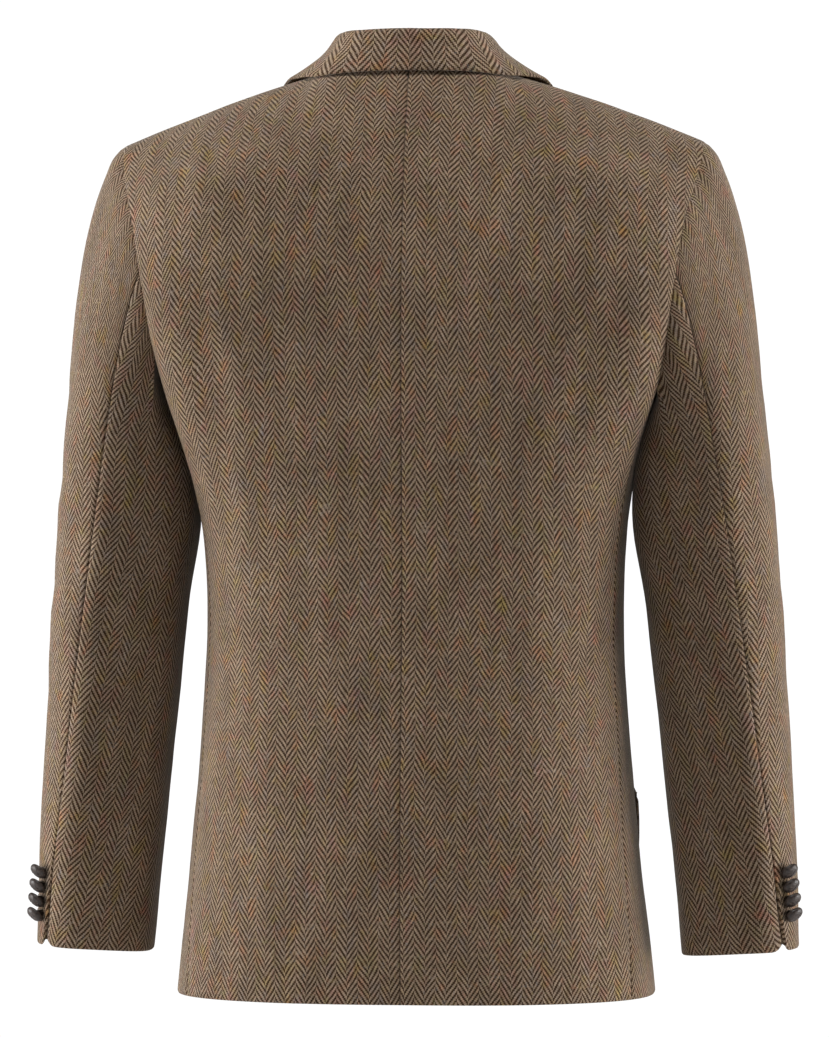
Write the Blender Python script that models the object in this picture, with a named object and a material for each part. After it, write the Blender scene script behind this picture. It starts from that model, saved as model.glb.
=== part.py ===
"""A single-breasted tweed hacking jacket, filled out and hollow, as separate cloth panels.

The frame is +Z up, the front faces -Y, and the wearer's left is +X. The origin is at the
nape, where the collar is sewn to the back, in the middle of the neck. Sizes in the tables
are in millimetres. Each panel is a thin wall on one smooth surface: the body below the
armholes is a stack of rounded sections, the shoulders are rows drawn from the centre line
to the armhole, and each sleeve runs from the armhole to the rings of the arm. The left half
is worked out, and the right half is its mirror image.
"""
import math
from functools import lru_cache

import bmesh
import bpy
import numpy as np
from mathutils.bvhtree import BVHTree

MM = 0.001

# Cloth and making
CLOTH = 2.0                # wall of a body panel or a sleeve
FOLDED_CLOTH = 2.6         # wall of the collar, lapels and flaps
SEAM_GAP = 0.3             # between two sewn pieces
ARMHOLE_GAP = 0.8          # the sleeve's own seam, which turns a corner
LAP = 1.25                 # the fronts part by twice this where they overlap
LAP_WIDTH = (34, 110)      # and come together again between these distances from the centre
ROLL_BULGE = 2.1           # they part this much more where the lapels turn back

# The body, from the nape down
HEM = -736.0
ARMHOLE_BASE = -225.0
UNDERARM_DIP = 18.0        # the armhole's lowest point is this far below its base corners
PAST_CENTRE = 0.4          # radians that a section runs on past each centre line
# z, and how squarely the back turns into the side
BACK_SQUARENESS = ((-441, 2.5), (-345, 2.9), (-280, 3.5), (-225, 3.8))
FRONT_SQUARENESS = 2.15
FRONT_SEAM_Y = -55.0       # the side body meets the front here
# z, half width, back y, front y, y where it is widest, y of the back side seam
BODY = (
    (-736, 190.3, 132, -136, 0, 66),
    (-632, 179.2, 134, -139, 0, 57),
    (-536, 170.8, 128, -134, 0, 50),
    (-441, 165.6, 118, -127, 2, 46),
    (-345, 171.0, 119, -131, 6, 54),
    (-300, 180.0, 122, -135, 14, 62),
    (-260, 192.0, 124, -138, 22, 71),
    (-225, 202.5, 124, -139, 30, 80),
)

# The shoulders: each row runs from the centre line to the armhole edge
NECK_POINT = (80, 21, -9)
SHOULDER_POINT = (231, 18, -63)
NAPE = (0, 58, 0)
NECK_PIT = (0, -66, -75)
# height, y and z on the centre line, x, y and z at the armhole, heading there in degrees
BACK_YOKE = (
    (-175, 123, -175, 206, 92, -181, 50),
    (-120, 112, -120, 215, 86, -134, 44),
    (-60, 91, -60, 226, 57, -93, 38),
)
FRONT_YOKE = (
    (-175, -137, -188, 185, -64, -181, 60),
    (-120, -124, -148, 200, -58, -134, 52),
    (-60, -98, -108, 221, -27, -91, 38),
)

# The front edge: straight lapped edge, cut away in a round quarter below
BREAK_HEIGHT = -330.0      # the lapel turns back from here up
OVERLAP = 20.0
# z, and how far the edge runs past the centre
FRONT_EDGE = ((-736, -74), (-700, -56), (-660, -26), (-620, 0), (-580, 15), (-540, 20), (-330, 20))
QUARTER_RISE = 40.0        # the hem lifts this much at the front corner
QUARTER_SHARE = 0.42       # over this share of the panel's width

# Lapel and collar
GORGE = (62, -58)          # x and z where the gorge seam meets the roll line
LAPEL_TIP = (137, -99)
NOTCH = (99, -78)
COLLAR_TIP = (119, -54)
LAPEL_LIFT = 5.0           # the lapel's face lies this far off the front
LAPEL_FOLD = ((-2.9, -1.2, 0), (-3.4, 0, 1.6), (-1.2, 0, 4.3), (3.5, 0, 5.2))
FOLD_START = 0.4           # the first places of the fold hang off the front's edge
LAPEL_BELLY = (80, -226)   # pulls the lapel's outer edge into a soft curve
GORGE_CLEAR = 3.6          # the collar's front end lies this far above the lapel's corner
COLLAR_LIFT = 5.2
COLLAR_SEAM_NECK = 0.52    # share of the collar that the back neckline takes
# share from centre back, then x, y and z of the roll line and of the leaf's edge
COLLAR = (
    (0.00, 0, 57, 25.0, 0, 67.5, -8.0),
    (0.25, 36, 51, 24.6, 47, 61, -8.8),
    (0.42, 51, 39, 24.4, 75, 49, -10.5),
    (0.55, 59.5, 22, 22.0, 91, 28, -9.5),
    (0.72, 66, -12, 8.0, 108, -8, -13.5),
)
COLLAR_SHARES = (0, 0.08, 0.16, 0.24, 0.32, 0.4, 0.48, 0.56, 0.64, 0.72, 0.81, 0.9, 1.0)

# Sleeves: rings across the arm
# z, x and y of the centre, half width, half depth, degrees round to the back seam
SLEEVE = (
    (-702, 258.2, 0, 46.3, 45, 42),
    (-648, 254.8, 0, 48.0, 47, 35),
    (-584, 250.2, 0, 49.8, 50, 27.5),
    (-504, 243.8, 0, 52.0, 54, 21.5),
    (-425, 237.2, 1, 53.9, 58, 16.5),
    (-345, 229.1, 5, 55.4, 62, 13),
    (-320, 229.1, 7, 52.9, 64, 10),
)
FRONT_SLEEVE_SEAM = 222.0  # degrees round the arm from the back, by way of the outside
ARM_LEAN = 0.066
SLEEVE_SQUARENESS = 2.5
VENT_HEIGHT = 95.0
VENT_SPREAD = 4.0

# Hip pockets
FLAP_FRONT = 86.0          # girth from centre front to the flap's front end
FLAP_LENGTH = 148.0
FLAP_DEPTH = 55.0
FLAP_TOP = -541.0          # height of its upper front corner
FLAP_SLANT = math.radians(17)
FLAP_LIFT = 0.7
FLAP_CORNER = 14.0         # how far its lower corners are rounded
JET_DEPTH = 5.5
JET_GAP = 0.4
JET_CLOTH = 1.6

# Buttons
FRONT_BUTTON_HEIGHTS = (-344, -438, -532)
FRONT_BUTTON_SIZE = (10.0, 6.5)    # radius and thickness
CUFF_BUTTON_HEIGHTS = (-641.5, -653, -664.5, -676)
CUFF_BUTTON_SIZE = (7.4, 6.2)
CUFF_BUTTON_TURN = 16.0    # degrees round the cuff from the vent
RIGHT_CUFF_RISE = 4.0      # the right cuff's buttons sit this much higher
CUFF_BUTTON_TILT = math.radians(48)
BUTTON_SIDES = 12
SHANK_RADIUS = 1.7
SHANK_CLEAR = 0.45         # between the shank and the cloth
# the dome's rings: share of the radius, share of the thickness
DOME = ((0.62, 0.0), (0.93, 0.10), (1.0, 0.32), (0.93, 0.62), (0.7, 0.86), (0.36, 0.97))

TWEED = (0.17, 0.125, 0.09)
LEATHER = (0.03, 0.022, 0.018)


def spline(knots, values, where, last=None):
    """Rows of values at rising knots, joined by one smooth curve and read at where."""
    knots = np.array(knots, float)
    table = np.array(values, float).reshape(len(knots), -1)
    step = np.diff(knots)[:, None]
    slope = np.diff(table, axis=0) / step
    inner = (slope[1:] * step[:-1] + slope[:-1] * step[1:]) / (step[1:] + step[:-1])
    end = slope[-1:] if last is None else np.array(last, float).reshape(1, -1)
    tangent = np.vstack([slope[:1], inner, end])
    where = np.clip(where, knots[0], knots[-1])
    k = min(int(np.searchsorted(knots, where, side="right")) - 1, len(step) - 1)
    t = (where - knots[k]) / step[k, 0]
    reach = step[k, 0]
    return ((1 + 2 * t) * (1 - t) ** 2 * table[k] + t * (1 - t) ** 2 * reach * tangent[k]
            + t * t * (3 - 2 * t) * table[k + 1] + t * t * (t - 1) * reach * tangent[k + 1])


def read(table, z):
    """A table's row at height z, without its first column."""
    rows = np.array(table, float)
    return spline(rows[:, 0], rows[:, 1:], z)


def hermite(start, start_way, end, end_way, count=81):
    """Points on the cubic from start to end with the given end directions."""
    t = np.linspace(0, 1, count)[:, None]
    start, start_way, end, end_way = (np.array(v, float) for v in (start, start_way, end, end_way))
    return ((1 + 2 * t) * (1 - t) ** 2 * start + t * (1 - t) ** 2 * start_way
            + t * t * (3 - 2 * t) * end + t * t * (t - 1) * end_way)


def runs(points):
    """Distance along a line of points."""
    return np.concatenate([[0.0], np.cumsum(np.linalg.norm(np.diff(points, axis=0), axis=1))])


def at_run(points, lengths, where):
    """The points that lie at the given distances along a line."""
    return np.stack([np.interp(where, lengths, points[:, k]) for k in range(3)], axis=-1)


def even(points, shares):
    """The points at the given shares of a line's length."""
    lengths = runs(points)
    return at_run(points, lengths, np.asarray(shares) * lengths[-1])


def unit(vector):
    return vector / np.linalg.norm(vector)


# ---------------------------------------------------------------- body below the armholes

@lru_cache(maxsize=None)
def section(z):
    """The body's section at height z from just before centre back to just past centre front,
    with each point's distance from centre back, and the distance to centre front."""
    half_width, back, front, widest, _ = read(BODY, z)
    turn = np.linspace(-PAST_CENTRE, math.pi + PAST_CENTRE, 401)
    sine, cosine = np.sin(turn), np.cos(turn)
    power = np.where(cosine >= 0, 2 / read(BACK_SQUARENESS, z)[0], 2 / FRONT_SQUARENESS)
    depth = np.where(cosine >= 0, back - widest, widest - front)
    x = half_width * np.sign(sine) * np.abs(sine) ** power
    y = widest + np.sign(cosine) * depth * np.abs(cosine) ** power
    points = np.stack([x, y, np.full_like(x, z)], axis=1)
    lengths = runs(points)
    lengths = lengths - np.interp(0, x[turn < 1], lengths[turn < 1])
    return points, lengths, float(np.interp(math.pi, turn, lengths))


@lru_cache(maxsize=None)
def girth_at(z, y):
    """Distance round the half section from centre back to depth y."""
    points, lengths, total = section(z)
    half = (lengths >= 0) & (lengths <= total)
    return float(np.interp(-y, -points[half, 1], lengths[half]))


def body_point(z, girth):
    """The point or points of the body at height z, girth round from centre back."""
    points, lengths, _ = section(round(float(z), 4))
    return at_run(points, lengths, girth)


def back_seam_girth(z):
    return girth_at(round(float(z), 4), float(read(BODY, z)[4]))


def front_seam_girth(z):
    return girth_at(round(float(z), 4), FRONT_SEAM_Y)


# ---------------------------------------------------------------- shoulders

SHARES = np.linspace(0, 1, 121)


def body_part(z, start, end):
    return body_point(z, start + (end - start) * SHARES)


def yoke_row(row, facing):
    """A row from the centre line to the armhole; facing is 1 on the back and -1 on the front."""
    _, centre_y, centre_z, edge_x, edge_y, edge_z, heading = row
    start = np.array([0, centre_y, centre_z], float)
    end = np.array([edge_x, edge_y, edge_z], float)
    reach = np.linalg.norm(end - start)
    heading = math.radians(heading)
    drop = (edge_z - centre_z) / reach
    end_way = unit(np.array([math.cos(heading), -facing * math.sin(heading), drop]))
    return even(hermite(start, (1.15 * reach, 0, 0), end, 1.15 * reach * end_way), SHARES)


def shoulder_seam():
    reach = SHOULDER_POINT[0] - NECK_POINT[0]
    return hermite(NECK_POINT, (reach, -4, -46), SHOULDER_POINT, (reach, -4, -64))


def top_row(centre, centre_way, neck_way):
    """The neckline from the centre to the neck point, then the shoulder seam."""
    neck = hermite(centre, centre_way, NECK_POINT, neck_way)
    line = np.vstack([neck, shoulder_seam()[1:]])
    return even(line, SHARES), runs(neck)[-1] / runs(line)[-1]


BACK_TOP, BACK_NECK_SHARE = top_row(NAPE, (95, 0, 0), (18, -56, -12))
FRONT_TOP, FRONT_NECK_SHARE = top_row(NECK_PIT, (110, 0, 0), (6, 80, 60))


def top_tangent(facing, neck_share, neck_way):
    """How the cloth arrives at the top row: level over the shoulder, upright at the neck."""
    over = np.array([0, -1.3 * facing, 0])
    blend = np.clip((SHARES - 0.1 * neck_share) / (0.9 * neck_share), 0, 1)
    blend = (blend * blend * (3 - 2 * blend))[:, None]
    return blend * over + (1 - blend) * np.array(neck_way)


KNOTS = [-300, ARMHOLE_BASE] + [row[0] for row in BACK_YOKE] + [0]
BACK_ROWS = ([body_part(z, 0, back_seam_girth(z)) for z in KNOTS[:2]]
             + [yoke_row(row, 1) for row in BACK_YOKE] + [BACK_TOP])
BACK_END = top_tangent(1, BACK_NECK_SHARE, (0, -0.4, 0.82))
FRONT_ROWS = ([body_part(z, section(z)[2], front_seam_girth(z)) for z in KNOTS[:2]]
              + [yoke_row(row, -1) for row in FRONT_YOKE] + [FRONT_TOP])
FRONT_END = top_tangent(-1, FRONT_NECK_SHARE, (0, 0.9, 0.6))


@lru_cache(maxsize=None)
def back_line(height):
    """The back above the armhole base, from the centre line to the armhole."""
    return spline(KNOTS, BACK_ROWS, height, BACK_END).reshape(-1, 3)


@lru_cache(maxsize=None)
def front_line(height):
    """The front above the armhole base, from the centre line to the armhole."""
    return spline(KNOTS, FRONT_ROWS, height, FRONT_END).reshape(-1, 3)


# ---------------------------------------------------------------- panels as places on the surface
# Each place takes a height and a share of the panel's width, and gives a point.

def smooth(value, low, high):
    t = min(max((value - low) / (high - low), 0.0), 1.0)
    return t * t * (3 - 2 * t)


def back_place(height, share):
    """The back panel, from centre back to its side seam and armhole."""
    if height <= ARMHOLE_BASE:
        return body_point(height, share * back_seam_girth(height))
    line = back_line(round(float(height), 4))
    if share < 0:
        return at_run(line, SHARES, -share) * np.array([-1, 1, 1])
    return at_run(line, SHARES, share)


def side_place(height, share):
    """The side body, whose top edge dips under the arm."""
    dip = UNDERARM_DIP * math.sin(math.pi * min(max(share, 0), 1)) * smooth(height, -420, ARMHOLE_BASE)
    z = height - dip
    start = back_seam_girth(z)
    return body_point(z, start + share * (front_seam_girth(z) - start))


def roll_x(z):
    """Where the front ends beside height z on the roll line."""
    rise = (z - BREAK_HEIGHT) / (NECK_POINT[2] - BREAK_HEIGHT)
    return -OVERLAP + rise * (NECK_POINT[0] + OVERLAP) - 5 * np.sin(math.pi * rise)


@lru_cache(maxsize=None)
def front_run(height):
    """The front's row from its seam or armhole to its front edge, with its runs."""
    if height <= ARMHOLE_BASE:
        start = front_seam_girth(height)
        line = body_point(height, np.linspace(start, section(height)[2] + 30, 200))
        edge = roll_x(height) if height > BREAK_HEIGHT else -read(FRONT_EDGE, height)[0]
    else:
        line = front_line(height)[::-1]
        edge = roll_x(line[:, 2])
    past = edge - line[:, 0]
    if (past > 0).any():
        crossing = max(int(np.argmax(past > 0)), 1)
        part = past[crossing - 1] / (past[crossing - 1] - past[crossing])
        end = line[crossing - 1] + part * (line[crossing] - line[crossing - 1])
        line = np.vstack([line[:crossing], end])
    return line, runs(line)


def front_surface(height, share):
    """The front before it is lapped, from its seam at share 0 to its front edge at 1."""
    lift = QUARTER_RISE * max(0.0, (share - 1 + QUARTER_SHARE) / QUARTER_SHARE) ** 2.4
    height = height + lift * (1 - smooth(height, HEM, HEM + 150))
    line, lengths = front_run(round(float(height), 4))
    where = share * lengths[-1]
    if where > lengths[-1]:
        return line[-1] + (where - lengths[-1]) * unit(line[-1] - line[-3])
    return at_run(line, lengths, where)


def lap_amount(point):
    """How far the lapped fronts part from the common surface at a point."""
    near = 1 - smooth(abs(point[0]), *LAP_WIDTH)
    bulge = ROLL_BULGE * smooth(point[2], -395, -335) * (1 - smooth(point[2], -255, -195))
    return near * (LAP * (1 - smooth(point[2], -215, -150)) + bulge)


def front_place(side):
    """The left front lies outside the right one."""
    def place(height, share):
        point = front_surface(height, share)
        return point + side * lap_amount(point) * np.array([0, -1, 0])
    return place


def normal(place, height, share, top=0.0):
    """The outward direction of a place's surface."""
    up = place(min(height + 0.5, top), share) - place(height - 0.5, share)
    around = place(height, share + 0.004) - place(height, share - 0.004)
    return unit(np.cross(up, around))


def patch(place, heights, shares, top=0.0):
    """A grid of points and outward directions."""
    points = np.array([[place(h, s) for s in shares] for h in heights])
    outward = np.array([[normal(place, h, s, top) for s in shares] for h in heights])
    return points, outward


# ---------------------------------------------------------------- sleeves

ARMHOLE_CENTRE = np.array([220, 8, -150.0])
ARMHOLE_HALF_HEIGHT = 91.0
ARMHOLE_HALF_DEPTH = 72.0
ARM_TOP = SLEEVE[-1][0]
CUFF = SLEEVE[0][0]


def armhole_angle(point):
    """Degrees round the armhole: 0 at the back, 90 at the top, 180 in front, -90 below."""
    rise = (point[2] - ARMHOLE_CENTRE[2] + 2) / ARMHOLE_HALF_HEIGHT
    return math.degrees(math.atan2(rise, (point[1] - ARMHOLE_CENTRE[1]) / ARMHOLE_HALF_DEPTH))


def arm_point(z, angle):
    """A point on the arm's ring at height z."""
    centre_x, centre_y, half_width, half_depth, _ = read(SLEEVE, z)
    turn = math.radians(angle)
    power = 2 / SLEEVE_SQUARENESS
    out = math.copysign(abs(math.sin(turn)) ** power, math.sin(turn))
    back = math.copysign(abs(math.cos(turn)) ** power, math.cos(turn))
    return np.array([centre_x + half_width * out, centre_y + half_depth * back,
                     z + ARM_LEAN * half_width * out])


def head_way(angle):
    """The direction in which the sleeve leaves the armhole at an angle round it."""
    upper = 0.5 + 0.5 * math.sin(math.radians(angle))
    return unit(np.array([0.06 + 0.74 * upper ** 0.8, 0.0, -1.0 + 0.12 * upper]))


def sleeve_point(edge, angle, ring_angle, down):
    """A point of the sleeve; down runs from 0 at the armhole to 1 at the arm's first ring,
    and on to 2 at the cuff. ring_angle gives the column's angle round the arm at a height."""
    if down > 1:
        z = ARM_TOP + (down - 1) * (CUFF - ARM_TOP)
        return arm_point(z, ring_angle(z))
    end = arm_point(ARM_TOP, ring_angle(ARM_TOP))
    reach = np.linalg.norm(end - edge)
    way = unit(arm_point(ARM_TOP - 10, ring_angle(ARM_TOP - 10)) - end)
    t = down
    return ((1 + 2 * t) * (1 - t) ** 2 * edge + t * (1 - t) ** 2 * 0.62 * reach * head_way(angle)
            + t * t * (3 - 2 * t) * end + t * t * (t - 1) * reach * way)


YOKE_HEIGHTS = (-225, -203, -182, -160, -138, -114, -88, -60, -30, 0)
SLEEVE_SEAM_ROW = 3        # the sleeve's back seam meets the armhole at this yoke height
UNDERARM_SHARES = (0, 0.25, 0.5, 0.75, 1)
HEAD_ROWS = (0, 0.08, 0.18, 0.3, 0.44, 0.58, 0.72, 0.86, 1)
ARM_ROWS = (1.14, 1.28, 1.42, 1.56, 1.7, 1.78, 1.86, 1.93, 2)


def armhole_ring():
    """The armhole's edge from its lowest back corner up over the shoulder and round below:
    points, the body's outward direction there and the angle round the armhole."""
    place = front_place(1)
    ring = [(back_place(h, 1), normal(back_place, h, 1)) for h in YOKE_HEIGHTS]
    ring += [(place(h, 0), normal(place, h, 0)) for h in YOKE_HEIGHTS[-2::-1]]
    ring += [(side_place(ARMHOLE_BASE, s), normal(side_place, ARMHOLE_BASE, s))
             for s in UNDERARM_SHARES[-2:0:-1]]
    return ring


def sleeve_grid():
    """The whole sleeve as rows of rings, with outward directions and the body's directions."""
    ring = armhole_ring()
    count = len(ring)
    front_corner = 2 * len(YOKE_HEIGHTS) - 2
    angles = [armhole_angle(point) for point, _ in ring]
    angles = [a + 360 if k > len(YOKE_HEIGHTS) and a < 0 else a for k, a in enumerate(angles)]
    seam_angle, corner_angle = angles[SLEEVE_SEAM_ROW], angles[front_corner]

    def ring_angle_of(angle):
        low = angle if angle <= seam_angle else angle - 360
        top_share = (angle - seam_angle) / (corner_angle - seam_angle)
        under_share = (seam_angle - low) / (seam_angle - corner_angle + 360)

        def ring_angle(z):
            seam = read(SLEEVE, z)[4]
            if seam_angle <= angle <= corner_angle:
                return seam + top_share * (FRONT_SLEEVE_SEAM - seam)
            return seam - under_share * (seam - FRONT_SLEEVE_SEAM + 360)
        return ring_angle

    columns = []
    for (point, out), angle in zip(ring, angles):
        inward = ARMHOLE_CENTRE - point
        inward = unit(inward - inward.dot(out) * out)
        edge = point + ARMHOLE_GAP * inward
        columns.append([sleeve_point(edge, angle, ring_angle_of(angle), d)
                        for d in HEAD_ROWS + ARM_ROWS])
    grid = np.array(columns).transpose(1, 0, 2)
    around = np.roll(grid, -1, axis=1) - np.roll(grid, 1, axis=1)
    along = np.gradient(grid, axis=0)
    outward = np.cross(around, along)
    outward /= np.linalg.norm(outward, axis=2, keepdims=True)
    for k, (_, out) in enumerate(ring):
        leaving = unit(grid[1, k] - grid[0, k])
        if leaving.dot(out) < 0:
            outward[0, k] = out
    return grid, outward, count, front_corner


# ---------------------------------------------------------------- solids

def draw_in(points, rows=(0, 0), columns=(0, 0)):
    """Move a grid's borders inwards along its own lines."""
    points = points.copy()
    for axis, (first, last) in enumerate((rows, columns)):
        grid = points if axis == 0 else points.transpose(1, 0, 2)
        for edge, beside, amount in ((0, 1, first), (-1, -2, last)):
            way = grid[beside] - grid[edge]
            way /= np.linalg.norm(way, axis=1, keepdims=True)
            grid[edge] += way * np.reshape(amount, (-1, 1))
    return points


def build_mesh(name, vertices, faces, colour, roughness):
    mesh = bpy.data.meshes.new(name)
    mesh.from_pydata([tuple(np.asarray(v) * MM) for v in vertices], [], faces)
    model = bmesh.new()
    model.from_mesh(mesh)
    bmesh.ops.recalc_face_normals(model, faces=model.faces)
    model.to_mesh(mesh)
    model.free()
    mesh.shade_smooth()
    mesh.set_sharp_from_angle(angle=math.radians(40))
    obj = bpy.data.objects.new(name, mesh)
    bpy.context.scene.collection.objects.link(obj)
    material = bpy.data.materials.new(name)
    material.use_nodes = True
    shader = material.node_tree.nodes["Principled BSDF"]
    shader.inputs["Base Color"].default_value = (*colour, 1)
    shader.inputs["Roughness"].default_value = roughness
    shader.inputs["Metallic"].default_value = 0.0
    mesh.materials.append(material)
    return obj


def wall(name, outer, inner):
    """A closed thin solid between two grids of points."""
    rows, columns = outer.shape[:2]
    vertices = list(outer.reshape(-1, 3)) + list(inner.reshape(-1, 3))
    offset = rows * columns
    faces = []
    for i in range(rows - 1):
        for j in range(columns - 1):
            a, b = i * columns + j, i * columns + j + 1
            c, d = b + columns, a + columns
            faces += [(a, b, c), (a, c, d), (a + offset, c + offset, b + offset),
                      (a + offset, d + offset, c + offset)]
    rim = list(range(columns))
    rim += [i * columns + columns - 1 for i in range(1, rows)]
    rim += [(rows - 1) * columns + j for j in range(columns - 2, -1, -1)]
    rim += [i * columns for i in range(rows - 2, 0, -1)]
    for a, b in zip(rim, rim[1:] + rim[:1]):
        faces.append((a, b, b + offset, a + offset))
    return build_mesh(name, vertices, faces, TWEED, 0.92)


def mirrored(points):
    return points * np.array([-1, 1, 1])


def ring_solid(name, rings):
    """A closed button from rings of points, capped at both ends."""
    count = len(rings[0])
    vertices = [point for ring in rings for point in ring]
    faces = []
    for k in range(len(rings) - 1):
        for j in range(count):
            a, b = k * count + j, k * count + (j + 1) % count
            faces.append((a, b, b + count, a + count))
    faces.append(tuple(range(count))[::-1])
    faces.append(tuple(range((len(rings) - 1) * count, len(rings) * count)))
    return build_mesh(name, vertices, faces, LEATHER, 0.45)


HALF_GAP = SEAM_GAP / 2
LOWER_HEIGHTS = (-736, -722, -700, -672, -640, -600, -560, -518, -476, -434, -394, -358, -334,
                 -300, -264)
BODY_HEIGHTS = LOWER_HEIGHTS + YOKE_HEIGHTS
BACK_SHARES = np.concatenate([np.linspace(0, BACK_NECK_SHARE, 5),
                              np.linspace(BACK_NECK_SHARE, 1, 10)[1:]])
FRONT_SHARES = np.linspace(0, 1, 10)


def both_sides(name, outer, outward, thickness=CLOTH):
    """The left solid, and the right one as its mirror image."""
    inner = outer - thickness * outward
    wall(name + "_left", outer, inner)
    wall(name + "_right", mirrored(outer), mirrored(inner))


def build_back():
    points, outward = patch(back_place, BODY_HEIGHTS, BACK_SHARES)
    outer = draw_in(points, (0, HALF_GAP), (HALF_GAP, HALF_GAP))
    both_sides("back", outer, outward)


def build_sides():
    heights = LOWER_HEIGHTS + (ARMHOLE_BASE,)
    points, outward = patch(side_place, heights, UNDERARM_SHARES)
    outer = draw_in(points, (0, HALF_GAP), (HALF_GAP, HALF_GAP))
    both_sides("side", outer, outward)


def build_fronts():
    for side, name in ((1, "left"), (-1, "right")):
        points, outward = patch(front_place(side), BODY_HEIGHTS, FRONT_SHARES)
        outer = draw_in(points, (0, HALF_GAP), (HALF_GAP, 0))
        inner = outer - CLOTH * outward
        if side < 0:
            outer, inner = mirrored(outer), mirrored(inner)
        wall("front_" + name, outer, inner)


def build_sleeves():
    grid, outward, count, front_corner = sleeve_grid()
    drop = grid[:, SLEEVE_SEAM_ROW, 2]
    spread = HALF_GAP + 0.5 * VENT_SPREAD * np.array(
        [1 - smooth(z, CUFF + 10, CUFF + VENT_HEIGHT) for z in drop])
    for name, columns, gaps in (
            ("top_sleeve", list(range(SLEEVE_SEAM_ROW, front_corner + 1)), (spread, HALF_GAP)),
            ("under_sleeve", list(range(front_corner, count)) + list(range(SLEEVE_SEAM_ROW + 1)),
             (HALF_GAP, spread))):
        outer = draw_in(grid[:, columns], (0, 0), gaps)
        both_sides(name, outer, outward[:, columns])


# ---------------------------------------------------------------- lapels

@lru_cache(maxsize=None)
def front_tree(side):
    """The front's surface as fine facets, to find where a point of the front view lies."""
    place = front_place(side)
    heights = np.concatenate([np.linspace(-345, ARMHOLE_BASE, 17), np.linspace(-220, 0, 34)])
    shares = np.linspace(0.05, 1.08, 50)
    points = [tuple(place(float(h), s)) for h in heights for s in shares]
    columns = len(shares)
    faces = [(i * columns + j, i * columns + j + 1, (i + 1) * columns + j + 1, (i + 1) * columns + j)
             for i in range(len(heights) - 1) for j in range(columns - 1)]
    return BVHTree.FromPolygons(points, faces)


def on_front(side, x, z, lift=0.0):
    """The point of the front at x and z, moved out by lift."""
    hit, out, _, _ = front_tree(side).ray_cast((x, -400, z), (0, 1, 0))
    out = np.array(out)
    if out[1] > 0:
        out = -out
    return np.array(hit) + lift * out


def front_edge(z, lift=0.0):
    """The point at height z on the edge of the left front above the break, moved out by lift."""
    place = front_place(1)
    heights = np.linspace(-320, 0, 65)
    edge = np.array([place(float(h), 1) for h in heights])
    height = float(np.interp(z, edge[:, 2], heights))
    return place(height, 1) + (lift * normal(place, height, 1) if lift else 0)


def roll_point(z):
    return np.array([roll_x(z), z])


def lapel_row(side, start, end, fold):
    """A row of the lapel from the fold at the roll line to its outer edge, each as x and z."""
    width = np.linalg.norm(end - start)
    way = (end - start) / width
    points = []
    for along, lift, more in LAPEL_FOLD:
        base = on_front(side, *(start + way * max(along, FOLD_START)), lift + more * fold)
        points.append(base + min(along - FOLD_START, 0) * np.array([way[0], 0, way[1]]))
    fold_end = LAPEL_FOLD[-1][0]
    for share in (0.18, 0.34, 0.5, 0.66, 0.83, 1.0):
        along = fold_end + share * (width - fold_end)
        points.append(on_front(side, *(start + way * along), LAPEL_LIFT * fold))
    return points


def lapel_grid(side):
    low = BREAK_HEIGHT + 4
    tip, notch, gorge = np.array(LAPEL_TIP), np.array(NOTCH), np.array(GORGE)
    corner, belly = roll_point(low) + np.array([7, -1]), np.array(LAPEL_BELLY)
    rows = []
    for t in (0, 0.1, 0.2, 0.32, 0.45, 0.58, 0.7, 0.81, 0.91, 1.0):
        start = roll_point(low + t * (gorge[1] - low))
        end = (1 - t) ** 2 * corner + 2 * t * (1 - t) * belly + t * t * tip
        rows.append(lapel_row(side, start, end, 0.62 + 0.38 * smooth(t, 0.0, 0.4)))
    return np.array(rows)


def build_lapels():
    for side, name in ((1, "left"), (-1, "right")):
        outer = lapel_grid(side)
        outward = -grid_outward(outer)
        inner = outer - FOLDED_CLOTH * outward
        if side < 0:
            outer, inner = mirrored(outer), mirrored(inner)
        wall("lapel_" + name, outer, inner)


def grid_outward(points):
    outward = np.cross(np.gradient(points, axis=0), np.gradient(points, axis=1))
    outward /= np.linalg.norm(outward, axis=2, keepdims=True)
    return outward


# ---------------------------------------------------------------- collar


def collar_seam(share):
    """Where the collar is sewn: along the back neckline, then down the front's edge."""
    if share <= COLLAR_SEAM_NECK:
        return back_place(0, share / COLLAR_SEAM_NECK * BACK_NECK_SHARE)
    end = GORGE[1] + GORGE_CLEAR - NECK_POINT[2]
    return front_edge(NECK_POINT[2] + (share - COLLAR_SEAM_NECK) / (1 - COLLAR_SEAM_NECK) * end)


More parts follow.
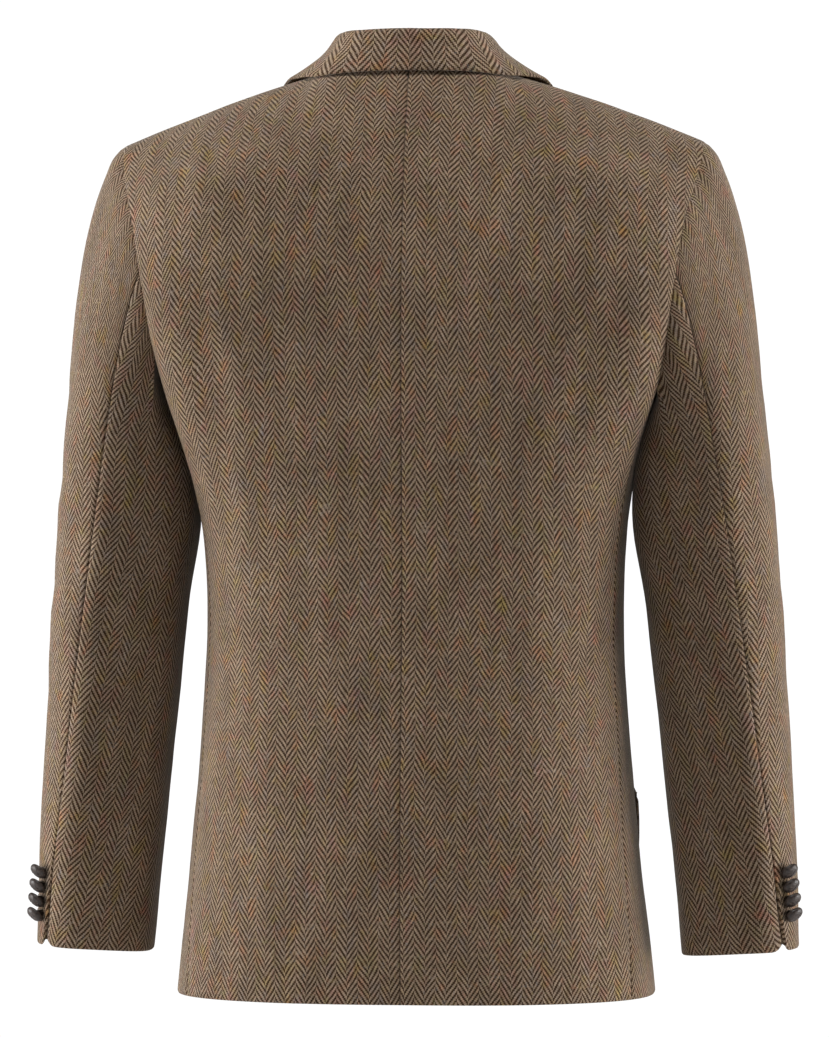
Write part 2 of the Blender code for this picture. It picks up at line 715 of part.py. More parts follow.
def collar_grid():
    tip = on_front(1, *COLLAR_TIP, COLLAR_LIFT)
    end_roll = front_edge(GORGE[1] + GORGE_CLEAR, COLLAR_LIFT)
    end_leaf = on_front(1, NOTCH[0] + 0.3 * GORGE_CLEAR, NOTCH[1] + 0.45 * GORGE_CLEAR, COLLAR_LIFT)
    shares = [row[0] for row in COLLAR] + [0.9, 1.0]
    rolls = [row[1:4] for row in COLLAR] + [front_edge(-38, 6.5), end_roll]
    edges = [row[4:7] for row in COLLAR] + [tip, end_leaf]
    rows = []
    for share in COLLAR_SHARES:
        seam = collar_seam(share)
        roll = spline(shares, rolls, share)
        edge = spline(shares[:-1], edges[:-1], share) if share <= 0.9 else (
            tip + (share - 0.9) / 0.1 * (end_leaf - tip))
        outward = unit(edge - roll)
        outward = unit(np.array([outward[0], outward[1], 0]))
        stand = roll - seam
        upright = smooth(np.linalg.norm(stand), 2, 24)
        start = seam - 2.2 * upright * outward + np.array([0, 0, SEAM_GAP])
        rise = np.array([0, 0, 1.0])
        fullness = 1 - 1.4 * smooth(share, 0.2, 0.55) * (1 - smooth(share, 0.72, 0.9))
        points = [  # inside of the stand, over the roll and down the leaf
            start,
            seam + 0.42 * stand - (1.2 + 2.6 * upright) * outward,
            roll - (1.6 + 2.6 * upright) * outward - 4.6 * upright * rise,
            roll - 2.0 * outward + 0.2 * rise,
            roll + 2.2 * outward + 0.1 * rise,
            roll + 5.0 * outward - 3.4 * upright * rise,
            roll + 0.36 * (edge - roll) + 2.6 * fullness * outward,
            roll + 0.68 * (edge - roll) + 2.0 * fullness * outward,
            edge,
        ]
        rows.append(points)
    return np.array(rows)


def build_collar():
    half = collar_grid()
    whole = np.vstack([mirrored(half[:0:-1]), half])
    outward = grid_outward(whole)
    wall("collar", whole, whole - FOLDED_CLOTH * outward)


# ---------------------------------------------------------------- hip pockets

def pocket_grid(upper, lower, lift, corner=0.0):
    """A strip on the body between two depths under the slanted pocket line."""
    across = np.linspace(0, 1, 9)
    down = np.linspace(0, 1, 2 if corner == 0 else 5)
    rows = []
    for d in down[::-1]:
        row = []
        for a in across:
            depth = upper + d * (lower - upper)
            ends = corner * d ** 4 * abs(2 * a - 1) ** 8
            depth -= 0.5 * ends
            run = FLAP_FRONT + math.cos(FLAP_SLANT) * FLAP_LENGTH * a - math.sin(FLAP_SLANT) * depth
            run += math.copysign(ends, 0.5 - a) * 0.6
            z = FLAP_TOP - math.sin(FLAP_SLANT) * FLAP_LENGTH * a - math.cos(FLAP_SLANT) * depth
            row.append(lifted(z, section(round(z, 4))[2] - run, lift))
        rows.append(row[::-1])
    return np.array(rows)


def lifted(z, girth, lift):
    """A point of the body moved straight out by lift."""
    here = body_point(z, girth)
    around = body_point(z, girth + 1) - body_point(z, girth - 1)
    up = body_point(z + 1, girth) - body_point(z - 1, girth)
    return here + lift * unit(np.cross(up, around))


def build_pockets():
    for name, upper, lower, cloth, corner in (
            ("pocket_flap", 0, FLAP_DEPTH, FOLDED_CLOTH, FLAP_CORNER),
            ("pocket_jet", -JET_DEPTH - JET_GAP, -JET_GAP, JET_CLOTH, 0.0)):
        outer = pocket_grid(upper, lower, FLAP_LIFT + cloth, corner)
        inner = pocket_grid(upper, lower, FLAP_LIFT, corner)
        wall(name + "_left", outer, inner)
        wall(name + "_right", mirrored(outer), mirrored(inner))


# ---------------------------------------------------------------- buttons

def circle(centre, axis, side_way, radius):
    """A ring of points about an axis; side_way fixes where it starts."""
    across = unit(side_way - side_way.dot(axis) * axis)
    other = np.cross(axis, across)
    turn = 2 * math.pi * np.arange(BUTTON_SIDES) / BUTTON_SIDES
    return [centre + radius * (math.cos(t) * across + math.sin(t) * other) for t in turn]


def button(name, seat, out, side_way, size, tilt=0.0, stem=1.2):
    """A domed button on its shank. The dome leans by tilt about side_way."""
    radius, thickness = size
    level = np.cross(side_way, out)
    axis = unit(math.cos(tilt) * out - math.sin(tilt) * level)
    base = seat + (SHANK_CLEAR + stem + radius * math.sin(abs(tilt)) * 0.72) * out
    rings = [circle(seat + SHANK_CLEAR * out, out, side_way, SHANK_RADIUS),
             circle(base, axis, side_way, SHANK_RADIUS)]
    rings += [circle(base + height * thickness * axis, axis, side_way, share * radius)
              for share, height in DOME]
    ring_solid(name, [np.array(r) for r in rings])


def cuff_seat(z):
    """Where a cuff button is sewn at height z, with the directions out and round the sleeve."""
    angle = read(SLEEVE, z)[4] + CUFF_BUTTON_TURN
    here = arm_point(z, angle)
    around = arm_point(z, angle + 1) - arm_point(z, angle - 1)
    along = arm_point(z + 1, angle) - arm_point(z - 1, angle)
    out = unit(np.cross(around, along))
    if out.dot(here - arm_point(z, angle + 180)) < 0:
        out = -out
    side_way = unit(around)
    if np.cross(side_way, out)[2] < 0:
        side_way = -side_way
    return here, out, side_way


def build_buttons():
    place = front_place(1)
    for number, z in enumerate(FRONT_BUTTON_HEIGHTS, 1):
        lengths = front_run(z)[1]
        share = 1 - OVERLAP / lengths[-1]
        out = normal(place, z, share)
        button(f"front_button_{number}", place(z, share), out, np.array([1.0, 0, 0]),
               FRONT_BUTTON_SIZE)
    for number, height in enumerate(CUFF_BUTTON_HEIGHTS, 1):
        for name, flip, rise in (("left", np.array([1, 1, 1]), 0.0),
                                 ("right", np.array([-1, 1, 1]), RIGHT_CUFF_RISE)):
            seat, out, side_way = cuff_seat(height + rise)
            button(f"cuff_button_{name}_{number}", seat * flip, out * flip,
                   side_way * flip * flip[0], CUFF_BUTTON_SIZE, CUFF_BUTTON_TILT, 0.2)


def main():
    for obj in list(bpy.data.objects):
        bpy.data.objects.remove(obj, do_unlink=True)
    build_back()
    build_sides()
    build_fronts()
    build_sleeves()
    build_lapels()
    build_collar()
    build_pockets()
    build_buttons()


main()
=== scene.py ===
"""Looks for the tweed hacking jacket: a shell of herringbone tweed on each cloth panel, with its
creases, rolled edges and sunk seams, leather buttons with their buttonholes, plain studio light
and the camera.

The panels repeat the part's own formulas at a finer pitch, in millimetres, so each shell lies
on its solid. +Z is up, the front faces -Y, and the wearer's left is +X.
"""
import math
from functools import lru_cache

import bmesh
import bpy
import numpy as np
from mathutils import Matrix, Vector, noise
from mathutils.bvhtree import BVHTree

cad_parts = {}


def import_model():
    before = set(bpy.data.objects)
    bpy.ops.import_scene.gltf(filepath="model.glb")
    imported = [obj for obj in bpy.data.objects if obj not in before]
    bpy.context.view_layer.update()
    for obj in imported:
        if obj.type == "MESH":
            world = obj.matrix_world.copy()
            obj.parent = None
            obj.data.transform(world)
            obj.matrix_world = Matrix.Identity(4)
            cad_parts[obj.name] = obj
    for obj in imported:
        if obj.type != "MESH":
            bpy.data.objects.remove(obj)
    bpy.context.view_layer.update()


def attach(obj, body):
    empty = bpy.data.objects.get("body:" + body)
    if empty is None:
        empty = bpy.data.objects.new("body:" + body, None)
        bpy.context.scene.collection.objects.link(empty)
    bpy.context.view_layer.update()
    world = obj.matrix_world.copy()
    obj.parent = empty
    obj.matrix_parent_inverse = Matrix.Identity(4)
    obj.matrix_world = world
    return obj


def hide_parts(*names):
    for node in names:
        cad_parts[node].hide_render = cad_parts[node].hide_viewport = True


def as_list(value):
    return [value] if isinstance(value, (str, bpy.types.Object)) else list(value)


MM = 0.001

# ---------------------------------------------------------------- sizes, as in the part's source

# Cloth and making
CLOTH = 2.0                # wall of a body panel or a sleeve
FOLDED_CLOTH = 2.6         # wall of the collar, lapels and flaps
SEAM_GAP = 0.3             # between two sewn pieces
ARMHOLE_GAP = 0.8          # the sleeve's own seam, which turns a corner
LAP = 1.25                 # the fronts part by twice this where they overlap
LAP_WIDTH = (34, 110)      # and come together again between these distances from the centre
ROLL_BULGE = 2.1           # they part this much more where the lapels turn back

# The body, from the nape down
HEM = -736.0
ARMHOLE_BASE = -225.0
UNDERARM_DIP = 18.0        # the armhole's lowest point is this far below its base corners
PAST_CENTRE = 0.4          # radians that a section runs on past each centre line
# z, and how squarely the back turns into the side
BACK_SQUARENESS = ((-441, 2.5), (-345, 2.9), (-280, 3.5), (-225, 3.8))
FRONT_SQUARENESS = 2.15
FRONT_SEAM_Y = -55.0       # the side body meets the front here
# z, half width, back y, front y, y where it is widest, y of the back side seam
BODY = (
    (-736, 190.3, 132, -136, 0, 66),
    (-632, 179.2, 134, -139, 0, 57),
    (-536, 170.8, 128, -134, 0, 50),
    (-441, 165.6, 118, -127, 2, 46),
    (-345, 171.0, 119, -131, 6, 54),
    (-300, 180.0, 122, -135, 14, 62),
    (-260, 192.0, 124, -138, 22, 71),
    (-225, 202.5, 124, -139, 30, 80),
)

# The shoulders: each row runs from the centre line to the armhole edge
NECK_POINT = (80, 21, -9)
SHOULDER_POINT = (231, 18, -63)
NAPE = (0, 58, 0)
NECK_PIT = (0, -66, -75)
# height, y and z on the centre line, x, y and z at the armhole, heading there in degrees
BACK_YOKE = (
    (-175, 123, -175, 206, 92, -181, 50),
    (-120, 112, -120, 215, 86, -134, 44),
    (-60, 91, -60, 226, 57, -93, 38),
)
FRONT_YOKE = (
    (-175, -137, -188, 185, -64, -181, 60),
    (-120, -124, -148, 200, -58, -134, 52),
    (-60, -98, -108, 221, -27, -91, 38),
)

# The front edge: straight lapped edge, cut away in a round quarter below
BREAK_HEIGHT = -330.0      # the lapel turns back from here up
OVERLAP = 20.0
ROLL_HOLLOW = 5.0          # the roll line runs this far inside a straight one
# z, and how far the edge runs past the centre
FRONT_EDGE = ((-736, -74), (-700, -56), (-660, -26), (-620, 0), (-580, 15), (-540, 20), (-330, 20))
QUARTER_RISE = 40.0        # the hem lifts this much at the front corner
QUARTER_SHARE = 0.42       # over this share of the panel's width
QUARTER_CURVE = 2.4        # how late the hem turns up
QUARTER_REACH = 150.0      # the lift has died away this high above the hem

# Lapel and collar
GORGE = (62, -58)          # x and z where the gorge seam meets the roll line
LAPEL_TIP = (137, -99)
NOTCH = (99, -78)
COLLAR_TIP = (119, -54)
LAPEL_LIFT = 5.0           # the lapel's face lies this far off the front
LAPEL_FOLD = ((-2.9, -1.2, 0), (-3.4, 0, 1.6), (-1.2, 0, 4.3), (3.5, 0, 5.2))
FOLD_START = 0.4           # the first places of the fold hang off the front's edge
LAPEL_START = 4.0          # the lapel begins this far above the break
LAPEL_CORNER = (7, -1)     # x and z of its outer edge's start, from there
FIRST_FOLD = 0.62          # share of the fold's fullness at the break
LAPEL_SHARES = (0.09, 0.18, 0.26, 0.34, 0.42, 0.5, 0.58, 0.66, 0.75, 0.83, 0.92, 1.0)
LAPEL_BELLY = (80, -226)   # pulls the lapel's outer edge into a soft curve
GORGE_CLEAR = 3.6          # the collar's front end lies this far above the lapel's corner
COLLAR_LIFT = 5.2
COLLAR_SEAM_NECK = 0.52    # share of the collar that the back neckline takes
FRONT_ROLL = (-38, 6.5)    # z of the roll line low on the front's edge, and its lift there
LEAF_SHARE = 0.9           # the leaf's tip lies here, and its end runs back to the notch
STAND_INSET = 2.2          # the stand begins this far inside the neckline
# share from centre back, then x, y and z of the roll line and of the leaf's edge
COLLAR = (
    (0.00, 0, 57, 25.0, 0, 67.5, -8.0),
    (0.25, 36, 51, 24.6, 47, 61, -8.8),
    (0.42, 51, 39, 24.4, 75, 49, -10.5),
    (0.55, 59.5, 22, 22.0, 91, 28, -9.5),
    (0.72, 66, -12, 8.0, 108, -8, -13.5),
)
COLLAR_SHARES = (0, 0.08, 0.16, 0.24, 0.32, 0.4, 0.48, 0.56, 0.64, 0.72, 0.81, 0.9, 1.0)

# Sleeves: rings across the arm
# z, x and y of the centre, half width, half depth, degrees round to the back seam
SLEEVE = (
    (-702, 258.2, 0, 46.3, 45, 42),
    (-648, 254.8, 0, 48.0, 47, 35),
    (-584, 250.2, 0, 49.8, 50, 27.5),
    (-504, 243.8, 0, 52.0, 54, 21.5),
    (-425, 237.2, 1, 53.9, 58, 16.5),
    (-345, 229.1, 5, 55.4, 62, 13),
    (-320, 229.1, 7, 52.9, 64, 10),
)
FRONT_SLEEVE_SEAM = 222.0  # degrees round the arm from the back, by way of the outside
ARM_LEAN = 0.066
SLEEVE_SQUARENESS = 2.5
VENT_HEIGHT = 95.0
VENT_SPREAD = 4.0

# Hip pockets
FLAP_FRONT = 86.0          # girth from centre front to the flap's front end
FLAP_LENGTH = 148.0
FLAP_DEPTH = 55.0
FLAP_TOP = -541.0          # height of its upper front corner
FLAP_SLANT = math.radians(17)
FLAP_LIFT = 0.7
FLAP_CORNER = 14.0         # how far its lower corners are rounded
JET_DEPTH = 5.5
JET_GAP = 0.4
JET_CLOTH = 1.6

# Buttons
FRONT_BUTTON_HEIGHTS = (-344, -438, -532)
FRONT_BUTTON_SIZE = (10.0, 6.5)    # radius and thickness
CUFF_BUTTON_HEIGHTS = (-641.5, -653, -664.5, -676)
CUFF_BUTTON_SIZE = (7.4, 6.2)
CUFF_BUTTON_TURN = 16.0    # degrees round the cuff from the vent
RIGHT_CUFF_RISE = 4.0      # the right cuff's buttons sit this much higher
CUFF_BUTTON_TILT = math.radians(48)
SHANK_RADIUS = 1.7
SHANK_CLEAR = 0.45         # between the shank and the cloth
# the dome's rings: share of the radius, share of the thickness
DOME = ((0.62, 0.0), (0.93, 0.10), (1.0, 0.32), (0.93, 0.62), (0.7, 0.86), (0.36, 0.97))

LOWER_HEIGHTS = (-736, -722, -700, -672, -640, -600, -560, -518, -476, -434, -394, -358, -334,
                 -300, -264)


def refine(values, times):
    """Each step between values divided evenly into times steps."""
    values = np.array(values, float)
    steps = np.arange(times) / times
    inner = (values[:-1, None] + np.diff(values)[:, None] * steps).ravel()
    return np.append(inner, values[-1])


def with_edges(values, first=(), last=()):
    """More values close to the two ends, where an edge is rounded."""
    return np.array(sorted(set(values) | {values[0] + s for s in first} | {values[-1] - s for s in last}))


def ease(t):
    return t * t * (3 - 2 * t)


def cubic(t, start, start_way, end, end_way):
    """The smooth curve from start to end with the given directions there, at t from 0 to 1."""
    return ((1 + 2 * t) * (1 - t) ** 2 * start + t * (1 - t) ** 2 * start_way
            + ease(t) * end + t * t * (t - 1) * end_way)


def spline(knots, values, where, last=None):
    """Rows of values at rising knots, joined by one smooth curve and read at where."""
    knots = np.array(knots, float)
    table = np.array(values, float).reshape(len(knots), -1)
    step = np.diff(knots)[:, None]
    slope = np.diff(table, axis=0) / step
    inner = (slope[1:] * step[:-1] + slope[:-1] * step[1:]) / (step[1:] + step[:-1])
    end = slope[-1:] if last is None else np.array(last, float).reshape(1, -1)
    tangent = np.vstack([slope[:1], inner, end])
    where = np.clip(where, knots[0], knots[-1])
    k = min(int(np.searchsorted(knots, where, side="right")) - 1, len(step) - 1)
    t = (where - knots[k]) / step[k, 0]
    return cubic(t, table[k], step[k, 0] * tangent[k], table[k + 1], step[k, 0] * tangent[k + 1])


def read(table, z):
    """A table's row at height z, without its first column."""
    rows = np.array(table, float)
    return spline(rows[:, 0], rows[:, 1:], z)


def hermite(start, start_way, end, end_way, count=81):
    """Points on the cubic from start to end with the given end directions."""
    ends = (np.array(v, float) for v in (start, start_way, end, end_way))
    return cubic(np.linspace(0, 1, count)[:, None], *ends)


def runs(points):
    """Distance along a line of points."""
    return np.concatenate([[0.0], np.cumsum(np.linalg.norm(np.diff(points, axis=0), axis=1))])


def at_run(points, lengths, where):
    """The points that lie at the given distances along a line."""
    return np.stack([np.interp(where, lengths, points[:, k]) for k in range(3)], axis=-1)


def even(points, shares):
    """The points at the given shares of a line's length."""
    lengths = runs(points)
    return at_run(points, lengths, np.asarray(shares) * lengths[-1])


def unit(vector):
    return vector / np.linalg.norm(vector)


# ---------------------------------------------------------------- body below the armholes

@lru_cache(maxsize=None)
def section(z):
    """The body's section at height z from just before centre back to just past centre front,
    with each point's distance from centre back, and the distance to centre front."""
    half_width, back, front, widest, _ = read(BODY, z)
    turn = np.linspace(-PAST_CENTRE, math.pi + PAST_CENTRE, 401)
    sine, cosine = np.sin(turn), np.cos(turn)
    power = np.where(cosine >= 0, 2 / read(BACK_SQUARENESS, z)[0], 2 / FRONT_SQUARENESS)
    depth = np.where(cosine >= 0, back - widest, widest - front)
    x = half_width * np.sign(sine) * np.abs(sine) ** power
    y = widest + np.sign(cosine) * depth * np.abs(cosine) ** power
    points = np.stack([x, y, np.full_like(x, z)], axis=1)
    lengths = runs(points)
    lengths = lengths - np.interp(0, x[turn < 1], lengths[turn < 1])
    return points, lengths, float(np.interp(math.pi, turn, lengths))


@lru_cache(maxsize=None)
def girth_at(z, y):
    """Distance round the half section from centre back to depth y."""
    points, lengths, total = section(z)
    half = (lengths >= 0) & (lengths <= total)
    return float(np.interp(-y, -points[half, 1], lengths[half]))


def body_point(z, girth):
    """The point or points of the body at height z, girth round from centre back."""
    points, lengths, _ = section(round(float(z), 4))
    return at_run(points, lengths, girth)


def back_seam_girth(z):
    return girth_at(round(float(z), 4), float(read(BODY, z)[4]))


def front_seam_girth(z):
    return girth_at(round(float(z), 4), FRONT_SEAM_Y)


# ---------------------------------------------------------------- shoulders

SHARES = np.linspace(0, 1, 121)


def body_part(z, start, end):
    return body_point(z, start + (end - start) * SHARES)


def yoke_row(row, facing):
    """A row from the centre line to the armhole; facing is 1 on the back and -1 on the front."""
    _, centre_y, centre_z, edge_x, edge_y, edge_z, heading = row
    start = np.array([0, centre_y, centre_z], float)
    end = np.array([edge_x, edge_y, edge_z], float)
    reach = np.linalg.norm(end - start)
    heading = math.radians(heading)
    drop = (edge_z - centre_z) / reach
    end_way = unit(np.array([math.cos(heading), -facing * math.sin(heading), drop]))
    return even(hermite(start, (1.15 * reach, 0, 0), end, 1.15 * reach * end_way), SHARES)


def shoulder_seam():
    reach = SHOULDER_POINT[0] - NECK_POINT[0]
    return hermite(NECK_POINT, (reach, -4, -46), SHOULDER_POINT, (reach, -4, -64))


def top_row(centre, centre_way, neck_way):
    """The neckline from the centre to the neck point, then the shoulder seam."""
    neck = hermite(centre, centre_way, NECK_POINT, neck_way)
    line = np.vstack([neck, shoulder_seam()[1:]])
    return even(line, SHARES), runs(neck)[-1] / runs(line)[-1]


BACK_TOP, BACK_NECK_SHARE = top_row(NAPE, (95, 0, 0), (18, -56, -12))
FRONT_TOP, FRONT_NECK_SHARE = top_row(NECK_PIT, (110, 0, 0), (6, 80, 60))


def top_tangent(facing, neck_share, neck_way):
    """How the cloth arrives at the top row: level over the shoulder, upright at the neck."""
    over = np.array([0, -1.3 * facing, 0])
    blend = np.clip((SHARES - 0.1 * neck_share) / (0.9 * neck_share), 0, 1)
    blend = ease(blend)[:, None]
    return blend * over + (1 - blend) * np.array(neck_way)


KNOTS = [-300, ARMHOLE_BASE] + [row[0] for row in BACK_YOKE] + [0]
BACK_ROWS = ([body_part(z, 0, back_seam_girth(z)) for z in KNOTS[:2]]
             + [yoke_row(row, 1) for row in BACK_YOKE] + [BACK_TOP])
BACK_END = top_tangent(1, BACK_NECK_SHARE, (0, -0.4, 0.82))
FRONT_ROWS = ([body_part(z, section(z)[2], front_seam_girth(z)) for z in KNOTS[:2]]
              + [yoke_row(row, -1) for row in FRONT_YOKE] + [FRONT_TOP])
FRONT_END = top_tangent(-1, FRONT_NECK_SHARE, (0, 0.9, 0.6))


@lru_cache(maxsize=None)
def back_line(height):
    """The back above the armhole base, from the centre line to the armhole."""
    return spline(KNOTS, BACK_ROWS, height, BACK_END).reshape(-1, 3)


@lru_cache(maxsize=None)
def front_line(height):
    """The front above the armhole base, from the centre line to the armhole."""
    return spline(KNOTS, FRONT_ROWS, height, FRONT_END).reshape(-1, 3)


# ---------------------------------------------------------------- panels as places on the surface
# Each place takes a height and a share of the panel's width, and gives a point.

def smooth(value, low, high):
    return ease(min(max((value - low) / (high - low), 0.0), 1.0))


def back_place(height, share):
    """The back panel, from centre back to its side seam and armhole."""
    if height <= ARMHOLE_BASE:
        return body_point(height, share * back_seam_girth(height))
    line = back_line(round(float(height), 4))
    if share < 0:
        return at_run(line, SHARES, -share) * np.array([-1, 1, 1])
    return at_run(line, SHARES, share)


def side_place(height, share):
    """The side body, whose top edge dips under the arm."""
    dip = UNDERARM_DIP * math.sin(math.pi * min(max(share, 0), 1)) * smooth(height, -420, ARMHOLE_BASE)
    z = height - dip
    start = back_seam_girth(z)
    return body_point(z, start + share * (front_seam_girth(z) - start))


def roll_x(z):
    """Where the front ends beside height z on the roll line."""
    rise = (z - BREAK_HEIGHT) / (NECK_POINT[2] - BREAK_HEIGHT)
    return -OVERLAP + rise * (NECK_POINT[0] + OVERLAP) - ROLL_HOLLOW * np.sin(math.pi * rise)


@lru_cache(maxsize=None)
def front_run(height):
    """The front's row from its seam or armhole to its front edge, with its runs."""
    if height <= ARMHOLE_BASE:
        start = front_seam_girth(height)
        line = body_point(height, np.linspace(start, section(height)[2] + 30, 200))
        edge = roll_x(height) if height > BREAK_HEIGHT else -read(FRONT_EDGE, height)[0]
    else:
        line = front_line(height)[::-1]
        edge = roll_x(line[:, 2])
    past = edge - line[:, 0]
    if (past > 0).any():
        crossing = max(int(np.argmax(past > 0)), 1)
        part = past[crossing - 1] / (past[crossing - 1] - past[crossing])
        end = line[crossing - 1] + part * (line[crossing] - line[crossing - 1])
        line = np.vstack([line[:crossing], end])
    return line, runs(line)


def front_level(height, share):
    """The height with the lift of the rounded quarter."""
    lift = QUARTER_RISE * max(0.0, (share - 1 + QUARTER_SHARE) / QUARTER_SHARE) ** QUARTER_CURVE
    return height + lift * (1 - smooth(height, HEM, HEM + QUARTER_REACH))


def front_surface(height, share):
    """The front before it is lapped, from its seam at share 0 to its front edge at 1."""
    height = front_level(height, share)
    line, lengths = front_run(round(float(height), 4))
    where = share * lengths[-1]
    if where > lengths[-1]:
        return line[-1] + (where - lengths[-1]) * unit(line[-1] - line[-3])
    return at_run(line, lengths, where)


def lap_amount(point):
    """How far the lapped fronts part from the common surface at a point."""
    near = 1 - smooth(abs(point[0]), *LAP_WIDTH)
    bulge = ROLL_BULGE * smooth(point[2], -395, -335) * (1 - smooth(point[2], -255, -195))
    return near * (LAP * (1 - smooth(point[2], -215, -150)) + bulge)


def front_place(side):
    """The left front lies outside the right one."""
    def place(height, share):
        point = front_surface(height, share)
        return point + side * lap_amount(point) * np.array([0, -1, 0])
    return place


def normal(place, height, share, top=0.0):
    """The outward direction of a place's surface."""
    up = place(min(height + 0.5, top), share) - place(height - 0.5, share)
    around = place(height, share + 0.004) - place(height, share - 0.004)
    return unit(np.cross(up, around))


# ---------------------------------------------------------------- sleeves

ARMHOLE_CENTRE = np.array([220, 8, -150.0])
ARMHOLE_HALF_HEIGHT = 91.0
ARMHOLE_HALF_DEPTH = 72.0
ARM_TOP = SLEEVE[-1][0]
CUFF = SLEEVE[0][0]
HEAD_PUSH = 0.62           # how strongly the sleeve heads off from the armhole


def armhole_angle(point):
    """Degrees round the armhole: 0 at the back, 90 at the top, 180 in front, -90 below."""
    rise = (point[2] - ARMHOLE_CENTRE[2] + 2) / ARMHOLE_HALF_HEIGHT
    return math.degrees(math.atan2(rise, (point[1] - ARMHOLE_CENTRE[1]) / ARMHOLE_HALF_DEPTH))


def arm_point(z, angle):
    """A point on the arm's ring at height z."""
    centre_x, centre_y, half_width, half_depth, _ = read(SLEEVE, z)
    turn = math.radians(angle)
    power = 2 / SLEEVE_SQUARENESS
    out = math.copysign(abs(math.sin(turn)) ** power, math.sin(turn))
    back = math.copysign(abs(math.cos(turn)) ** power, math.cos(turn))
    return np.array([centre_x + half_width * out, centre_y + half_depth * back,
                     z + ARM_LEAN * half_width * out])


def head_way(angle):
    """The direction in which the sleeve leaves the armhole at an angle round it."""
    upper = 0.5 + 0.5 * math.sin(math.radians(angle))
    return unit(np.array([0.06 + 0.74 * upper ** 0.8, 0.0, -1.0 + 0.12 * upper]))


def sleeve_point(edge, angle, ring_angle, down):
    """A point of the sleeve; down runs from 0 at the armhole to 1 at the arm's first ring,
    and on to 2 at the cuff. ring_angle gives the column's angle round the arm at a height."""
    if down > 1:
        z = ARM_TOP + (down - 1) * (CUFF - ARM_TOP)
        return arm_point(z, ring_angle(z))
    end = arm_point(ARM_TOP, ring_angle(ARM_TOP))
    reach = np.linalg.norm(end - edge)
    way = unit(arm_point(ARM_TOP - 10, ring_angle(ARM_TOP - 10)) - end)
    return cubic(down, edge, HEAD_PUSH * reach * head_way(angle), end, reach * way)


YOKE_HEIGHTS = (-225, -203, -182, -160, -138, -114, -88, -60, -30, 0)
UNDERARM_SHARES = (0, 0.25, 0.5, 0.75, 1)
RING_STEPS = 4             # the sleeve's ring has this many steps between the part's own
RING_HEIGHTS = tuple(refine(YOKE_HEIGHTS, RING_STEPS))
RING_UNDERARM = tuple(refine(UNDERARM_SHARES, RING_STEPS))
SLEEVE_SEAM_ROW = 3 * RING_STEPS   # the sleeve's back seam meets the armhole at this height
SLEEVE_ROWS = tuple(refine((0, 0.08, 0.18, 0.3, 0.44, 0.58, 0.72, 0.86, 1), 4)) + tuple(refine(
    (1, 1.14, 1.28, 1.42, 1.56, 1.7, 1.78, 1.86, 1.93, 1.985), 5)[1:]) + (1.992, 1.9965, 2.0)


def armhole_ring():
    """The armhole's edge from its lowest back corner up over the shoulder and round below:
    points and the body's outward direction there."""
    place = front_place(1)
    ring = [(back_place(h, 1), normal(back_place, h, 1)) for h in RING_HEIGHTS]
    ring += [(place(h, 0), normal(place, h, 0)) for h in RING_HEIGHTS[-2::-1]]
    ring += [(side_place(ARMHOLE_BASE, s), normal(side_place, ARMHOLE_BASE, s))
             for s in RING_UNDERARM[-2:0:-1]]
    return ring


def sleeve_grid():
    """The whole sleeve as rows of rings, with outward directions and the body's directions."""
    ring = armhole_ring()
    count = len(ring)
    front_corner = 2 * len(RING_HEIGHTS) - 2
    angles = [armhole_angle(point) for point, _ in ring]
    angles = [a + 360 if k > len(RING_HEIGHTS) and a < 0 else a for k, a in enumerate(angles)]
    seam_angle, corner_angle = angles[SLEEVE_SEAM_ROW], angles[front_corner]

    def ring_angle_of(angle):
        low = angle if angle <= seam_angle else angle - 360
        top_share = (angle - seam_angle) / (corner_angle - seam_angle)
        under_share = (seam_angle - low) / (seam_angle - corner_angle + 360)

        def ring_angle(z):
            seam = read(SLEEVE, z)[4]
            if seam_angle <= angle <= corner_angle:
                return seam + top_share * (FRONT_SLEEVE_SEAM - seam)
            return seam - under_share * (seam - FRONT_SLEEVE_SEAM + 360)
        return ring_angle

    columns = []
    for (point, out), angle in zip(ring, angles):
        inward = ARMHOLE_CENTRE - point
        inward = unit(inward - inward.dot(out) * out)
        edge = point + ARMHOLE_GAP * inward
        columns.append([sleeve_point(edge, angle, ring_angle_of(angle), d)
                        for d in SLEEVE_ROWS])
    grid = np.array(columns).transpose(1, 0, 2)
    around = np.roll(grid, -1, axis=1) - np.roll(grid, 1, axis=1)
    along = np.gradient(grid, axis=0)
    outward = np.cross(around, along)
    outward /= np.linalg.norm(outward, axis=2, keepdims=True)
    for k, (_, out) in enumerate(ring):
        leaving = unit(grid[1, k] - grid[0, k])
        if leaving.dot(out) < 0:
            outward[0, k] = out
    return grid, outward, count, front_corner


def draw_in(points, rows=(0, 0), columns=(0, 0)):
    """Move a grid's borders inwards along its own lines."""
    points = points.copy()
    for axis, (first, last) in enumerate((rows, columns)):
        grid = points if axis == 0 else points.transpose(1, 0, 2)
        for edge, beside, amount in ((0, 1, first), (-1, -2, last)):
            way = grid[beside] - grid[edge]
            way /= np.linalg.norm(way, axis=1, keepdims=True)
            grid[edge] += way * np.reshape(amount, (-1, 1))
    return points


# ---------------------------------------------------------------- lapels

